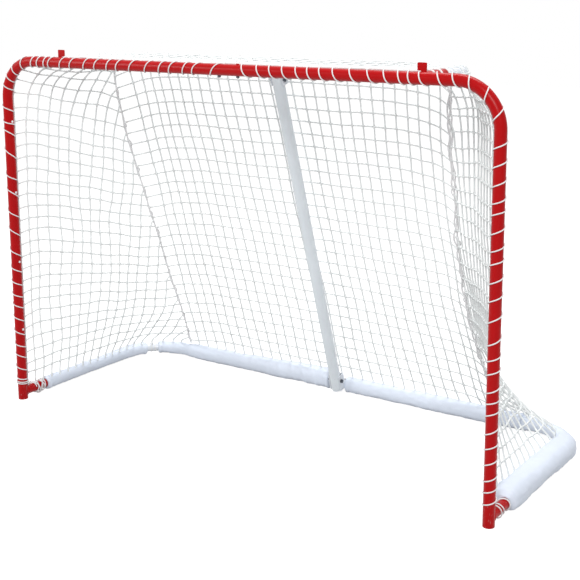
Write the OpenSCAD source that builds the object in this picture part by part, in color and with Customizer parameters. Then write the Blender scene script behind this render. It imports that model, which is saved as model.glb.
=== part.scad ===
// Hockey goal, 72 x 48 inch mouth: round tube front frame, U shaped base, net shelf,
// centre support bar, laced net and padded base sleeves. Millimetres, +Z up, +Y to the back.
// The origin lies on the floor, midway between the posts, in the plane of their axes.

/* [Front frame] */
// Clear width between the posts
mouth_w = 1829; // [1500:1:1900]
// Clear height under the crossbar
mouth_h = 1219; // [1100:1:1300]
// Outside diameter of the posts and the crossbar
frame_d = 35; // [32:0.5:38]
// Wall of every steel tube
wall = 1.6; // [1.2:0.1:2.2]
// Bend radius of the top corners, on the tube's axis
corner_r = 130; // [110:1:160]
// Distance of the crossbar, shelf and base joints from the middle
joint_x = 42; // [38:1:60]

/* [Base and shelf] */
// Outside diameter of the base and shelf tube
back_d = 32; // [28:0.5:33]
// Depth from the posts' axes to the rear base bar's axis
base_depth = 730; // [640:1:820]
// Height of the base tube's axis
base_z = 27; // [24:0.5:32]
// Bend radius of the base corners, on the tube's axis
base_corner_r = 180; // [160:1:200]
// Length of the welded base stubs, from the posts' axes
base_stub = 110; // [100:1:130]
// Distance between the axes of the two shelf arms
shelf_w = 1370; // [1300:1:1400]
// Depth from the crossbar's axis to the rear shelf bar's axis
shelf_depth = 345; // [320:1:400]
// Bend radius of the shelf corners, on the tube's axis
shelf_corner_r = 100; // [80:1:120]
// Length of the welded shelf stubs, from the crossbar's axis
shelf_stub = 165; // [150:1:180]
// Width of the upright tabs on the shelf stubs
tab_w = 28; // [20:1:32]
// Height of the tabs above the crossbar
tab_rise = 24; // [15:1:35]
// Thickness of the tabs
tab_t = 4; // [3:0.5:5]

/* [Joints and fasteners] */
// Length of the inner couplings at the tube joints
coupling_l = 150; // [120:2:160]
// Clearance between a coupling and the tube round it
fit = 0.3; // [0.2:0.05:0.5]
// Gap between welded or resting faces
seat = 0.1; // [0.05:0.05:0.3]
// Bolt diameter at the crossbar joint
joint_bolt_d = 6; // [5:0.5:6]
// Distance of each joint bolt from the joint
joint_bolt_x = 35; // [32:1:45]
// Screw diameter at the base and shelf joints
screw_d = 5; // [4:0.5:6]
// Depth of the foot plugs
plug_h = 15; // [10:1:25]

/* [Centre bar] */
// Outside diameter of the centre support bar
bar_d = 40; // [36:0.5:42]
// Thickness of the bracket plates
bracket_t = 3; // [2.5:0.5:4]
// Length of the brackets along the bar
bracket_l = 60; // [50:1:80]
// Diameter of the bracket bolts
bar_bolt_d = 8; // [6:0.5:9]
// Distance of each bracket bolt from the bar's end
bar_bolt_in = 40; // [34:1:44]

/* [Net] */
// Distance of the rear net seams from the middle
seam_x = 665; // [620:1:680]
// Width of a net strand
strand_w = 4; // [3:0.5:5]
// Thickness of a net strand
strand_t = 3; // [2:0.5:4]
// Gaps across the back net
back_cols = 15; // [10:1:18]
// Gaps down the back net
back_rows = 12; // [8:1:14]
// Gaps from front to back in the shelf net
shelf_rows = 3; // [2:1:4]
// Gaps from front to back in a side net
side_cols = 6; // [4:1:7]
// Gaps up a side net
side_rows = 6; // [4:1:8]
// Distance from the post's axis in to the left side net's foot
slim_inset = 14; // [8:1:20]
// Distance from the post's axis in to the right side net's foot
wide_inset = 42; // [30:1:44]
// Radius in which the left side net's foot rounds the base corner
slim_corner = 165; // [150:5:180]
// Radius in which the right side net's foot rounds the base corner
wide_corner = 160; // [150:5:180]
// Clearance between a sleeve's hem and a side net's foot
foot_room = 1; // [0.5:0.5:5]
// Clearance between a shelf arm and a side net's head
arm_room = 3.5; // [3:0.5:6]
// Gap between the net and what it lies on
net_gap = 0.4; // [0.3:0.1:0.8]

/* [Lacing] */
// Diameter of the lacing cord
cord_d = 4; // [3:0.5:4.5]
// Spacing of the lacing turns
lace_pitch = 50.5; // [45:0.5:55]
// Height of the lowest lacing turn
lace_low = 75; // [60:1:90]
// Extra length of the turn that passes a shelf stub
stub_skip = 26; // [20:1:30]
// Turns round each base stub
stub_turns = 3; // [2:1:3]
// Spacing of the turns round the base stubs
stub_pitch = 14; // [11:0.5:15]
// Height above which the lowest net peg sits
peg_low = 262; // [200:1:320]
// Diameter of the net pegs' heads
peg_head_d = 9; // [7:0.5:10]
// Diameter of the net pegs' shanks
peg_d = 5; // [4:0.5:6]

/* [Sleeves] */
// Outside diameter of the padded rear sleeves
sleeve_d = 58; // [54:0.5:64]
// Height of the wide sleeve on the right side
wide_sleeve_h = 70; // [64:1:80]
// Width of the wide sleeve on the right side
wide_sleeve_w = 86; // [80:1:100]
// Clearance between the base tube and the padding
sleeve_room = 4.5; // [4:0.5:5]
// Thickness of the padding where a sleeve is drawn tight, as on the left side and the corners
tight_wall = 3; // [2.5:0.5:5]
// Length in which a sleeve narrows towards a corner
taper_l = 70; // [40:5:90]
// Angle round the left rear corner at which the side sleeve ends
corner_from = 33; // [20:1:36]
// Angle round the left rear corner at which the rear sleeve starts
corner_to = 50; // [47:1:70]
// Distance from the middle to the left rear sleeve
centre_left = 47; // [44:1:60]
// Clearance between the lower bracket and the right rear sleeve
centre_room = 2.7; // [1:0.1:20]
// Width of the hem at each sleeve end
hem_w = 14; // [8:1:20]
// Thickness of the hem
hem_t = 1; // [0.5:0.5:2]

/* [Hidden] */
$fn = 72;

// Front frame
frame_r = frame_d / 2;
post_x = mouth_w / 2 + frame_r;
bar_z = mouth_h + frame_r;
bolt_hole = joint_bolt_d + 0.6;
// Base and shelf
back_r = back_d / 2;
shelf_x = shelf_w / 2;
frame_in = frame_d - 2 * wall;
back_in = back_d - 2 * wall;
screw_hole = screw_d + 0.4;
screw_at = 30;
head_h = 2.6;
cut = 1;
// Centre bar: w runs up along it, n points away from it to the back
rear_rise = bar_z - base_z;
rear_run = base_depth - shelf_depth;
rear_l = norm([rear_run, rear_rise]);
slope = atan2(rear_run, rear_rise);
bar_off = back_r + seat + bracket_t + fit + bar_d / 2;
cheek_n = bar_off + bar_d / 4;
bolt_hole_bar = bar_bolt_d + 0.6;
// Lacing: a turn is counted from the front of the crossbar at the shelf stub's middle, and its
// angle runs from 0 on the frame's outside, over 90 at the front, to 180 on the inside.
lace_rings = 10;
lace_sides = 4;
lace_r = (frame_r + seat + cord_d / 2) / cos(180 / lace_rings);
lace_out = norm([lace_r + cord_d / 2, cord_d / 2]);
net_front = lace_out + net_gap;
stub_turn = 114 / 360;
stub_reach = stub_turn * lace_pitch + stub_skip / 2;
lace_bar = post_x - corner_r - shelf_x;
lace_bend = PI / 2 * corner_r;
left_start = cord_d + 2 * seat;
right_start = joint_x + joint_bolt_x + 2 * joint_bolt_d + cord_d;
stub_lace_r = (back_r + seat + cord_d / 2) / cos(180 / lace_rings);
// Powers with which a side net draws in from its foot and head, and its strands spread from
// the post and the foot.
foot_pull = 8;
head_pull = 3;
col_spread = 1.3;
row_spread = 1.4;
pegs = 4;
peg_hole = peg_d + 0.4;
// Sleeves. The base tube's straight stretches end at bend_x and bend_y.
sleeve_r = sleeve_d / 2;
tight_r = back_r + sleeve_room + tight_wall;
sole = 0.5;
thin = 0.2;
hem_room = hem_t + net_gap;
bend_x = post_x - base_corner_r;
bend_y = base_depth - base_corner_r;
side_start = base_stub + seat;
centre_right = bar_d / 2 + fit + bracket_t + centre_room;
wide_in = 8;
wide_end = 30;
slim_top = base_z + sleeve_r + hem_room;

// ---- tube helpers -------------------------------------------------------------------------

// A bar along +Z for leg_a, a quarter bend towards +X, then along +X for leg_b.
module elbow_run(leg_a, leg_b, bend_r, d, over = 0) {
    translate([0, 0, -over]) cylinder(h = leg_a + over, d = d);
    translate([bend_r, 0, leg_a]) rotate([90, 0, 0]) rotate([0, 0, 90])
        rotate_extrude(angle = 90) translate([bend_r, 0]) circle(d = d);
    translate([bend_r, 0, leg_a + bend_r]) rotate([0, 90, 0]) cylinder(h = leg_b + over, d = d);
}

module elbow_tube(leg_a, leg_b, bend_r, d) {
    difference() {
        elbow_run(leg_a, leg_b, bend_r, d);
        elbow_run(leg_a, leg_b, bend_r, d - 2 * wall, cut);
    }
}

// A straight tube along +X from x0 to x1.
module tube_x(x0, x1, d, w) {
    translate([x0, 0, 0]) rotate([0, 90, 0]) difference() {
        cylinder(h = x1 - x0, d = d);
        translate([0, 0, -cut]) cylinder(h = x1 - x0 + 2 * cut, d = d - 2 * w);
    }
}

// Turns what is drawn along +X to lie along +Y.
module along_y() {
    mirror([0, 1, 0]) rotate([0, 0, -90]) children();
}

// side is -1 for the left piece and 1 for the right one.
module sided(side) {
    if (side < 0) mirror([1, 0, 0]) children();
    else children();
}

// ---- front frame --------------------------------------------------------------------------

function joint_bolts() = [joint_x - joint_bolt_x, joint_x + joint_bolt_x];

// Height on a post that the lacing reaches after a number of turns past the shelf stub.
function lace_height(turn) =
    bar_z - corner_r + lace_bar + lace_bend - stub_reach - (turn - stub_turn) * lace_pitch;
// Turns that bring the lacing down to a height.
function lace_turns(z) = stub_turn + (lace_height(stub_turn) - z) / lace_pitch;
// The pegs sit half a turn away from the inner passes of the lacing, a whole number of turns
// apart, and all below the corner's bend.
low_peg_turn = floor(lace_turns(peg_low)) + 0.75;
peg_turns = floor((low_peg_turn - lace_turns(bar_z - corner_r - peg_head_d)) / (pegs - 1));
function peg_heights() = [for (i = [0:pegs - 1]) lace_height(low_peg_turn - peg_turns * i)];

// One post, its corner and its share of the crossbar, bent from one tube. end_x is where the
// crossbar ends, measured towards the post's own side.
module frame_tube(side, end_x) {
    difference() {
        sided(side) mirror([1, 0, 0]) translate([-post_x, 0, 0])
            elbow_tube(bar_z - corner_r, post_x - corner_r - end_x, corner_r, frame_d);
        for (x = joint_bolts())
            translate([x, 0, bar_z - frame_d]) cylinder(h = 2 * frame_d, d = bolt_hole);
        for (z = peg_heights())
            translate([side * post_x, 0, z]) rotate([0, -side * 90, 0])
                cylinder(h = frame_d, d = peg_hole);
    }
}

module left_frame_tube() { color("crimson") frame_tube(-1, -joint_x + seat / 2); }
module right_frame_tube() { color("crimson") frame_tube(1, joint_x + seat / 2); }

module crossbar_coupling() {
    half = min(coupling_l / 2, joint_bolt_x + 3 * joint_bolt_d);
    color("silver") difference() {
        translate([0, 0, bar_z]) tube_x(joint_x - half, joint_x + half, frame_in - 2 * fit, wall);
        for (x = joint_bolts())
            translate([x, 0, bar_z - frame_d]) cylinder(h = 2 * frame_d, d = bolt_hole);
    }
}

// A dome headed bolt down through the crossbar, one each side of the joint.
module crossbar_bolts() {
    color("darkred") for (x = joint_bolts()) translate([x, 0, bar_z]) {
        translate([0, 0, frame_r + seat]) cylinder(h = head_h, d = 1.7 * joint_bolt_d);
        translate([0, 0, -frame_r - seat - joint_bolt_d])
            cylinder(h = frame_d + 2 * seat + joint_bolt_d, d = joint_bolt_d);
    }
}

module crossbar_nuts() {
    color("dimgray") for (x = joint_bolts())
        translate([x, 0, bar_z - frame_r - seat - 0.8 * joint_bolt_d]) difference() {
            cylinder(h = 0.8 * joint_bolt_d, d = 1.9 * joint_bolt_d, $fn = 6);
            translate([0, 0, -cut])
                cylinder(h = joint_bolt_d + 2 * cut, d = joint_bolt_d + 2 * seat, $fn = 72);
        }
}

module foot_plugs() {
    color("black") for (side = [-1, 1]) translate([side * post_x, 0, 0])
        cylinder(h = plug_h, d = frame_in - 2 * seat);
}

// ---- welded stubs and tabs ----------------------------------------------------------------

// A stub along +Y, its end cut to the round of the frame tube that it is welded to.
module base_stub_tube(side) {
    color("crimson") difference() {
        translate([side * post_x, 0, base_z]) along_y() tube_x(0, base_stub, back_d, wall);
        translate([side * post_x, 0, -cut]) cylinder(h = 3 * base_z, d = frame_d + 2 * seat);
    }
}
module left_base_stub() { base_stub_tube(-1); }
module right_base_stub() { base_stub_tube(1); }

module shelf_stub_tube(side) {
    color("crimson") difference() {
        translate([side * shelf_x, 0, bar_z]) along_y() tube_x(0, shelf_stub, back_d, wall);
        translate([side * shelf_x - back_d, 0, bar_z]) rotate([0, 90, 0])
            cylinder(h = 2 * back_d, d = frame_d + 2 * seat);
    }
}
module left_shelf_stub() { shelf_stub_tube(-1); }
module right_shelf_stub() { shelf_stub_tube(1); }

// An upright plate with rounded top corners, its foot cut to the stub's round.
module shelf_tab(side) {
    top = frame_r + tab_rise;
    round_r = tab_w / 8;
    color("crimson") translate([side * shelf_x, net_front + tab_t, bar_z]) difference() {
        rotate([90, 0, 0]) linear_extrude(tab_t) union() {
            translate([-tab_w / 2, 0]) square([tab_w, top - round_r]);
            translate([-tab_w / 2 + round_r, 0]) square([tab_w - 2 * round_r, top]);
            for (s = [-1, 1])
                translate([s * (tab_w / 2 - round_r), top - round_r]) circle(round_r);
        }
        translate([0, -3 * tab_t, 0]) rotate([-90, 0, 0])
            cylinder(h = 5 * tab_t, d = back_d + 2 * seat);
        translate([-tab_w, -3 * tab_t, -back_d]) cube([2 * tab_w, 5 * tab_t, back_d]);
    }
}
module left_shelf_tab() { shelf_tab(-1); }
module right_shelf_tab() { shelf_tab(1); }

// ---- base and shelf tubes -----------------------------------------------------------------

// From the stub back along the side, round the corner and along the rear to the joint.
// The run starts at y0 on the side's axis x and lies flat at height z. Its screws stand on the
// base tube, and hang under the shelf tube, where no net lies.
module hung(up) { mirror([0, 0, up < 0 ? 1 : 0]) children(); }

module rear_tube(side, x, y0, depth, bend_r, z, end_x, up) {
    difference() {
        translate([0, 0, z]) sided(side) mirror([1, 0, 0]) translate([-x, y0, 0])
            rotate([-90, 0, 0]) elbow_tube(depth - bend_r - y0, x - bend_r - end_x, bend_r, back_d);
        translate([side * x, y0 + screw_at, z]) hung(up) cylinder(h = back_d, d = screw_hole);
        for (sx = [-screw_at, screw_at])
            translate([joint_x + sx, depth, z]) hung(up) cylinder(h = back_d, d = screw_hole);
    }
}

module base_tube(side, end_x) {
    color("whitesmoke")
        rear_tube(side, post_x, base_stub + seat, base_depth, base_corner_r, base_z, end_x, 1);
}
module left_base_tube() { base_tube(-1, -joint_x + seat / 2); }
module right_base_tube() { base_tube(1, joint_x + seat / 2); }

module shelf_tube(side, end_x) {
    color("whitesmoke")
        rear_tube(side, shelf_x, shelf_stub + seat, shelf_depth, shelf_corner_r, bar_z, end_x, -1);
}
module left_shelf_tube() { shelf_tube(-1, -joint_x + seat / 2); }
module right_shelf_tube() { shelf_tube(1, joint_x + seat / 2); }

// The inner tube of a joint in the base or shelf, centred on the origin along +X.
module back_coupling(half) {
    tube_x(-half, half, back_in - 2 * fit, 2 * wall);
}

// Side couplings reach from the stub to just before the corner's bend.
side_half = 2 * screw_at - 8;
module base_side_couplings() {
    color("silver") for (side = [-1, 1]) difference() {
        translate([side * post_x, base_stub, base_z]) along_y() back_coupling(side_half);
        translate([side * post_x, base_stub + seat + screw_at, base_z])
            cylinder(h = back_d, d = screw_d - 2 * seat);
    }
}

module shelf_side_couplings() {
    color("silver") for (side = [-1, 1]) difference() {
        translate([side * shelf_x, shelf_stub, bar_z]) along_y() back_coupling(side_half);
        translate([side * shelf_x, shelf_stub + seat + screw_at, bar_z])
            hung(-1) cylinder(h = back_d, d = screw_d - 2 * seat);
    }
}

module rear_coupling(depth, z, up) {
    color("silver") difference() {
        translate([joint_x, depth, z]) back_coupling(coupling_l / 2);
        for (sx = [-screw_at, screw_at])
            translate([joint_x + sx, depth, z])
                hung(up) cylinder(h = back_d, d = screw_d - 2 * seat);
    }
}
module base_rear_coupling() { rear_coupling(base_depth, base_z, 1); }
module shelf_rear_coupling() { rear_coupling(shelf_depth, bar_z, -1); }

// Button head screws through the tube's wall into the coupling.
module joint_screw() {
    translate([0, 0, back_r + seat]) cylinder(h = head_h, d = 1.8 * screw_d);
    translate([0, 0, back_in / 2 - fit - 1.5 * wall])
        cylinder(h = wall + fit + 1.5 * wall + 2 * seat, d = screw_d - 4 * seat);
}

module joint_screws() {
    color("gray") {
        for (side = [-1, 1]) {
            translate([side * post_x, base_stub + seat + screw_at, base_z]) joint_screw();
            translate([side * shelf_x, shelf_stub + seat + screw_at, bar_z]) hung(-1) joint_screw();
        }
        for (sx = [-screw_at, screw_at]) {
            translate([joint_x + sx, base_depth, base_z]) joint_screw();
            translate([joint_x + sx, shelf_depth, bar_z]) hung(-1) joint_screw();
        }
    }
}

// ---- centre bar ---------------------------------------------------------------------------

// Local frame of the bar: origin on the rear base bar's axis, +Z up the slope, +Y to the back.
module on_slope() {
    translate([0, base_depth, base_z]) rotate([slope, 0, 0]) children();
}

module centre_bar() {
    color("gainsboro") on_slope() translate([0, -bar_off, 0]) difference() {
        cylinder(h = rear_l, d = bar_d);
        translate([0, 0, -cut]) cylinder(h = rear_l + 2 * cut, d = bar_d - 2 * wall);
        for (h = [bar_bolt_in, rear_l - bar_bolt_in])
            translate([-bar_d, 0, h]) rotate([0, 90, 0])
                cylinder(h = 2 * bar_d, d = bolt_hole_bar);
    }
}

module centre_bar_plugs() {
    color("white") on_slope() translate([0, -bar_off, 0])
        for (h = [0, rear_l - plug_h]) translate([0, 0, h])
            cylinder(h = plug_h, d = bar_d - 2 * wall - 2 * seat);
}

// A U shaped bracket: a back plate against the rear tube and a cheek on each side of the bar.
module bar_bracket(h0, bolt_h) {
    inner = bar_d / 2 + fit;
    color("white") on_slope() difference() {
        translate([-inner - bracket_t, -cheek_n, h0])
            cube([2 * (inner + bracket_t), cheek_n - back_r - seat, bracket_l]);
        translate([-inner, -cheek_n - cut, h0 - cut])
            cube([2 * inner, cheek_n + cut - back_r - seat - bracket_t, bracket_l + 2 * cut]);
        translate([-bar_d, -bar_off, bolt_h]) rotate([0, 90, 0])
            cylinder(h = 2 * bar_d, d = bolt_hole_bar);
    }
}
module upper_bar_bracket() { bar_bracket(rear_l - bracket_l, rear_l - bar_bolt_in); }
module lower_bar_bracket() { bar_bracket(0, bar_bolt_in); }

bolt_face = bar_d / 2 + fit + bracket_t + seat;
module bracket_bolts() {
    color("dimgray") on_slope() for (h = [bar_bolt_in, rear_l - bar_bolt_in])
        translate([0, -bar_off, h]) rotate([0, 90, 0]) {
            translate([0, 0, -bolt_face - 0.65 * bar_bolt_d])
                cylinder(h = 0.65 * bar_bolt_d, d = 1.85 * bar_bolt_d, $fn = 6);
            translate([0, 0, -bolt_face])
                cylinder(h = 2 * bolt_face + bar_bolt_d, d = bar_bolt_d, $fn = 72);
        }
}

module bracket_nuts() {
    color("dimgray") on_slope() for (h = [bar_bolt_in, rear_l - bar_bolt_in])
        translate([bolt_face, -bar_off, h]) rotate([0, 90, 0]) difference() {
            cylinder(h = 0.8 * bar_bolt_d, d = 1.85 * bar_bolt_d, $fn = 6);
            translate([0, 0, -cut])
                cylinder(h = bar_bolt_d + 2 * cut, d = bar_bolt_d + 2 * seat, $fn = 72);
        }
}

// ---- net pegs -----------------------------------------------------------------------------

// Domed pegs in the inner faces of a post, which hold the net's edge cord.
module net_pegs(side) {
    dome_h = peg_head_d / 3;
    dome_r = (pow(peg_head_d / 2, 2) + pow(dome_h, 2)) / (2 * dome_h);
    color("white") for (z = peg_heights())
        translate([side * (post_x - frame_r - seat), 0, z]) rotate([0, -side * 90, 0]) {
            intersection() {
                cylinder(h = dome_h + cut, d = peg_head_d);
                translate([0, 0, dome_h - dome_r]) sphere(r = dome_r);
            }
            translate([0, 0, -3 * wall]) cylinder(h = 3 * wall, d = peg_d);
        }
}
module left_net_pegs() { net_pegs(-1); }
module right_net_pegs() { net_pegs(1); }

// ---- back net and shelf net ---------------------------------------------------------------

// A flat grid of strands, w by l, with cols by rows gaps.
module net_grid(w, l, cols, rows) {
    gap_w = (w - strand_w * (cols + 1)) / cols;
    gap_l = (l - strand_w * (rows + 1)) / rows;
    difference() {
        square([w, l]);
        for (i = [0:cols - 1], j = [0:rows - 1])
            translate([strand_w + i * (gap_w + strand_w), strand_w + j * (gap_l + strand_w)])
                square([gap_w, gap_l]);
    }
}

// The back net lies on a line that leaves the rear shelf bar as a tangent and ends on the
// rear sleeves. Its long strands run on over the bar to its top.
wrap_r = back_r + net_gap;
back_w = 2 * (seam_x - net_gap);
back_foot = [base_depth - shelf_depth, slim_top - bar_z];
back_reach = norm(back_foot);
wrap_a = atan2(back_foot[1], back_foot[0]) + acos(wrap_r / back_reach);
back_l = sqrt(pow(back_reach, 2) - pow(wrap_r, 2));

module back_net() {
    strand_step = (back_w - strand_w) / back_cols;
    color("white") translate([0, shelf_depth, bar_z]) {
        rotate([wrap_a, 0, 0]) translate([-back_w / 2, wrap_r + strand_t, -back_l])
            rotate([90, 0, 0]) linear_extrude(strand_t)
                net_grid(back_w, back_l, back_cols, back_rows);
        rotate([90, 0, 90]) rotate([0, 0, wrap_a]) rotate_extrude(angle = 90 - wrap_a)
            for (i = [0:back_cols])
                translate([wrap_r, -back_w / 2 + i * strand_step])
                    square([strand_t, strand_w]);
    }
}

// Its long strands carry on those of the back net, and its cross strands lie on them.
module shelf_net() {
    l = shelf_depth - net_front - net_gap;
    step_x = (back_w - strand_w) / back_cols;
    step_y = (l - strand_w) / shelf_rows;
    color("white") translate([-back_w / 2, net_front, bar_z + wrap_r]) {
        for (i = [0:back_cols]) translate([i * step_x, 0, 0]) cube([strand_w, l, strand_t]);
        for (j = [0:shelf_rows]) translate([0, j * step_y, strand_t + seat])
            cube([back_w, strand_w, strand_t]);
    }
}

// ---- side nets ----------------------------------------------------------------------------

// The edges of a side net, drawn for the right side. Its front edge follows the post, the
// corner and the crossbar, its foot the sleeve, its head the shelf arm, its rear the seam.
edge_y = net_front + strand_w / 2;
edge_x = shelf_x + back_r + arm_room + strand_t;
edge_z = bar_z - strand_w / 2;
rear_x = seam_x + strand_w;
rear_y = base_depth + 2;

// Height of the wide sleeve's hem at a distance in from the middle of its round shoulder.
function shoulder(x) = let (r = wide_sleeve_h / 2) r - sole + sqrt(pow(r + hem_t, 2) - x * x);
function foot_x(side) = post_x - (side < 0 ? slim_inset : wide_inset);
function foot_r(side) = side < 0 ? slim_corner : wide_corner;
function foot_z(side, u) = foot_room + strand_w / 2 + u * (base_z + sleeve_r + hem_t)
    + (1 - u) * (side < 0 ? base_z + tight_r + hem_t
    : shoulder(wide_inset - strand_t / 2 - wide_in - (wide_sleeve_w - wide_sleeve_h) / 2));

function front_edge(side, v) =
    let (low = foot_z(side, 0), rise = bar_z - corner_r - low, run = post_x - corner_r - edge_x,
         s = v * (rise + lace_bend + run),
         a = min(max((s - rise) / corner_r * 180 / PI, 0), 90))
    [post_x - corner_r * (1 - cos(a)) - max(s - rise - lace_bend, 0), edge_y,
     low + min(s, rise) + (corner_r - strand_w / 2) * sin(a)];

function foot_edge(side, u) =
    let (x = foot_x(side), r = foot_r(side), back = rear_y - r - edge_y, bend = PI / 2 * r,
         s = u * (back + bend + x - r - rear_x), a = min(max((s - back) / r * 180 / PI, 0), 90))
    [x + (post_x - x) * max(1 - s / (base_stub - edge_y - hem_w), 0) - r * (1 - cos(a))
         - max(s - back - bend, 0),
     edge_y + min(s, back) + r * sin(a), foot_z(side, u)];

head_r = edge_x - shelf_x + shelf_corner_r;
head_a = acos((rear_x - shelf_x + shelf_corner_r) / head_r);
function head_edge(u) =
    let (back = shelf_depth - shelf_corner_r - edge_y, bend = head_r * head_a * PI / 180,
         s = u * (back + bend), a = max(s - back, 0) / head_r * 180 / PI)
    [edge_x - head_r * (1 - cos(a)), edge_y + min(s, back) + head_r * sin(a), edge_z];

// How far an edge strays from the straight line between its ends.
function stray(p, p0, p1, u) = p - (1 - u) * p0 - u * p1;

// The net is drawn tight: straight from front to rear, but near its foot and its head, where
// it widens to their curves.
function side_point(side, u, v) =
    let (foot0 = foot_edge(side, 0), foot1 = foot_edge(side, 1), head0 = head_edge(0),
         head1 = head_edge(1))
    (1 - u) * front_edge(side, v) + u * ((1 - v) * foot1 + v * head1)
    + pow(1 - v, foot_pull) * stray(foot_edge(side, u), foot0, foot1, u)
    + pow(v, head_pull) * stray(head_edge(u), head0, head1, u);

function unit(p) = p / norm(p);

// The eight corners of one crossing of strands.
function crossing(side, u, v) =
    let (h = 0.01, u0 = max(u - h, 0), u1 = min(u + h, 1), v0 = max(v - h, 0),
         v1 = min(v + h, 1), p = side_point(side, u, v),
         a = unit(side_point(side, u1, v) - side_point(side, u0, v)) * strand_w / 2,
         b = unit(side_point(side, u, v1) - side_point(side, u, v0)) * strand_w / 2,
         n = unit(cross(a, b)) * strand_t / 2)
    [for (q = [n, -n]) each [p - a - b + q, p + a - b + q, p + a + b + q, p - a + b + q]];

function quad(a, b, c, d) = [[a, b, c], [a, c, d]];

module net_surface(side, cols, rows) {
    points = [for (i = [0:cols], j = [0:rows])
        each crossing(side, pow(i / cols, col_spread), pow(j / rows, row_spread))];
    function at(i, j) = 8 * (i * (rows + 1) + j);
    faces = [
        for (i = [0:cols], j = [0:rows]) let (k = at(i, j)) each concat(
            quad(k + 3, k + 2, k + 1, k), quad(k + 4, k + 5, k + 6, k + 7),
            i > 0 ? [] : quad(k + 3, k, k + 4, k + 7),
            i < cols ? [] : quad(k + 1, k + 2, k + 6, k + 5),
            j > 0 ? [] : quad(k, k + 1, k + 5, k + 4),
            j < rows ? [] : quad(k + 2, k + 3, k + 7, k + 6)
        ),
        for (i = [0:cols - 1], j = [0:rows]) let (k = at(i, j), m = at(i + 1, j)) each concat(
            quad(k + 2, m + 3, m, k + 1), quad(k + 5, m + 4, m + 7, k + 6),
            quad(k + 1, m, m + 4, k + 5), quad(m + 3, k + 2, k + 6, m + 7)
        ),
        for (i = [0:cols], j = [0:rows - 1]) let (k = at(i, j), m = at(i, j + 1)) each concat(
            quad(m, m + 1, k + 2, k + 3), quad(k + 7, k + 6, m + 5, m + 4),
            quad(m, k + 3, k + 7, m + 4), quad(k + 2, m + 1, m + 5, k + 6)
        )
    ];
    polyhedron(points, faces);
}

module side_net(side) { color("white") sided(side) net_surface(side, side_cols, side_rows); }
module left_side_net() { side_net(-1); }
module right_side_net() { side_net(1); }

// ---- cords --------------------------------------------------------------------------------

// One closed tube through a list of points. A ring's corners are turned so that a four sided
// cord lies flat on what it is wound round; side_at gives the direction to that side.
module cord(path, sides_at) {
    last = len(path) - 1;
    rings = [for (i = [0:last])
        let (t = unit(path[min(i + 1, last)] - path[max(i - 1, 0)]),
             b = unit(cross(t, sides_at[i])), r = cross(b, t))
        each [for (k = [0:lace_sides - 1]) let (a = 45 + k * 360 / lace_sides)
            path[i] + cord_d / 2 * sqrt(2) * (cos(a) * r + sin(a) * b)]];
    faces = [
        [for (k = [0:lace_sides - 1]) k],
        for (i = [0:last - 1], k = [0:lace_sides - 1])
            let (m = (k + 1) % lace_sides, p = i * lace_sides, q = p + lace_sides)
            each quad(p + k, q + k, q + m, p + m),
        [for (k = [lace_sides - 1:-1:0]) last * lace_sides + k]
    ];
    polyhedron(rings, faces);
}

// Least gap between the turns of a winding, measured between its points.
function least_gap(path) =
    min([for (i = [0:len(path) - 1], j = [i + 7:min(i + 16, len(path) - 1)])
        norm(path[i] - path[j])]) - cord_d * sqrt(2);

// A turn's place along the frame tube's axis, from the shelf stub outwards.
function lace_reach(turn) =
    abs(turn) < stub_turn ? turn / stub_turn * stub_reach
    : sign(turn) * (stub_reach + (abs(turn) - stub_turn) * lace_pitch);
function lace_corner(s) = min(max((s - lace_bar) / corner_r * 180 / PI, 0), 90);
function frame_axis(s) =
    let (a = lace_corner(s))
    [shelf_x + min(s, lace_bar) + corner_r * sin(a), 0,
     bar_z - corner_r * (1 - cos(a)) - max(s - lace_bar - lace_bend, 0)];
function lace_side(turn) =
    let (a = lace_corner(lace_reach(turn)), w = 90 + 360 * turn)
    cos(w) * [sin(a), 0, cos(a)] + sin(w) * [0, -1, 0];

module frame_lacing(side, turn0, turn1) {
    steps = floor((turn1 - turn0) * lace_rings);
    turns = [for (i = [0:steps]) turn0 + i / lace_rings];
    sides_at = [for (t = turns) lace_side(t)];
    path = [for (i = [0:steps]) frame_axis(lace_reach(turns[i])) + lace_r * sides_at[i]];
    echo(turns = turn1 - turn0, least_gap = least_gap(path));
    color("white") sided(side) cord(path, sides_at);
}

function start_turn(x) = stub_turn * -1 - (shelf_x - stub_reach - x) / lace_pitch;
bend_turn = lace_turns(bar_z - corner_r);
knot_gap = 0.25;
module left_crossbar_lacing() { frame_lacing(-1, start_turn(left_start), bend_turn - knot_gap); }
module right_crossbar_lacing() { frame_lacing(1, start_turn(right_start), bend_turn - knot_gap); }
module left_post_lacing() { frame_lacing(-1, bend_turn, lace_turns(lace_low)); }
module right_post_lacing() { frame_lacing(1, bend_turn, lace_turns(lace_low)); }

module stub_lacing(side) {
    y0 = net_front + stub_pitch;
    steps = stub_turns * lace_rings;
    sides_at = [for (i = [0:steps]) let (w = 360 * i / lace_rings) [sin(w), 0, cos(w)]];
    path = [for (i = [0:steps])
        [post_x, y0 + i * stub_pitch / lace_rings, base_z] + stub_lace_r * sides_at[i]];
    echo(turns = stub_turns, least_gap = least_gap(path));
    color("white") sided(side) cord(path, sides_at);
}
module left_stub_lacing() { stub_lacing(-1); }
module right_stub_lacing() { stub_lacing(1); }

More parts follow.
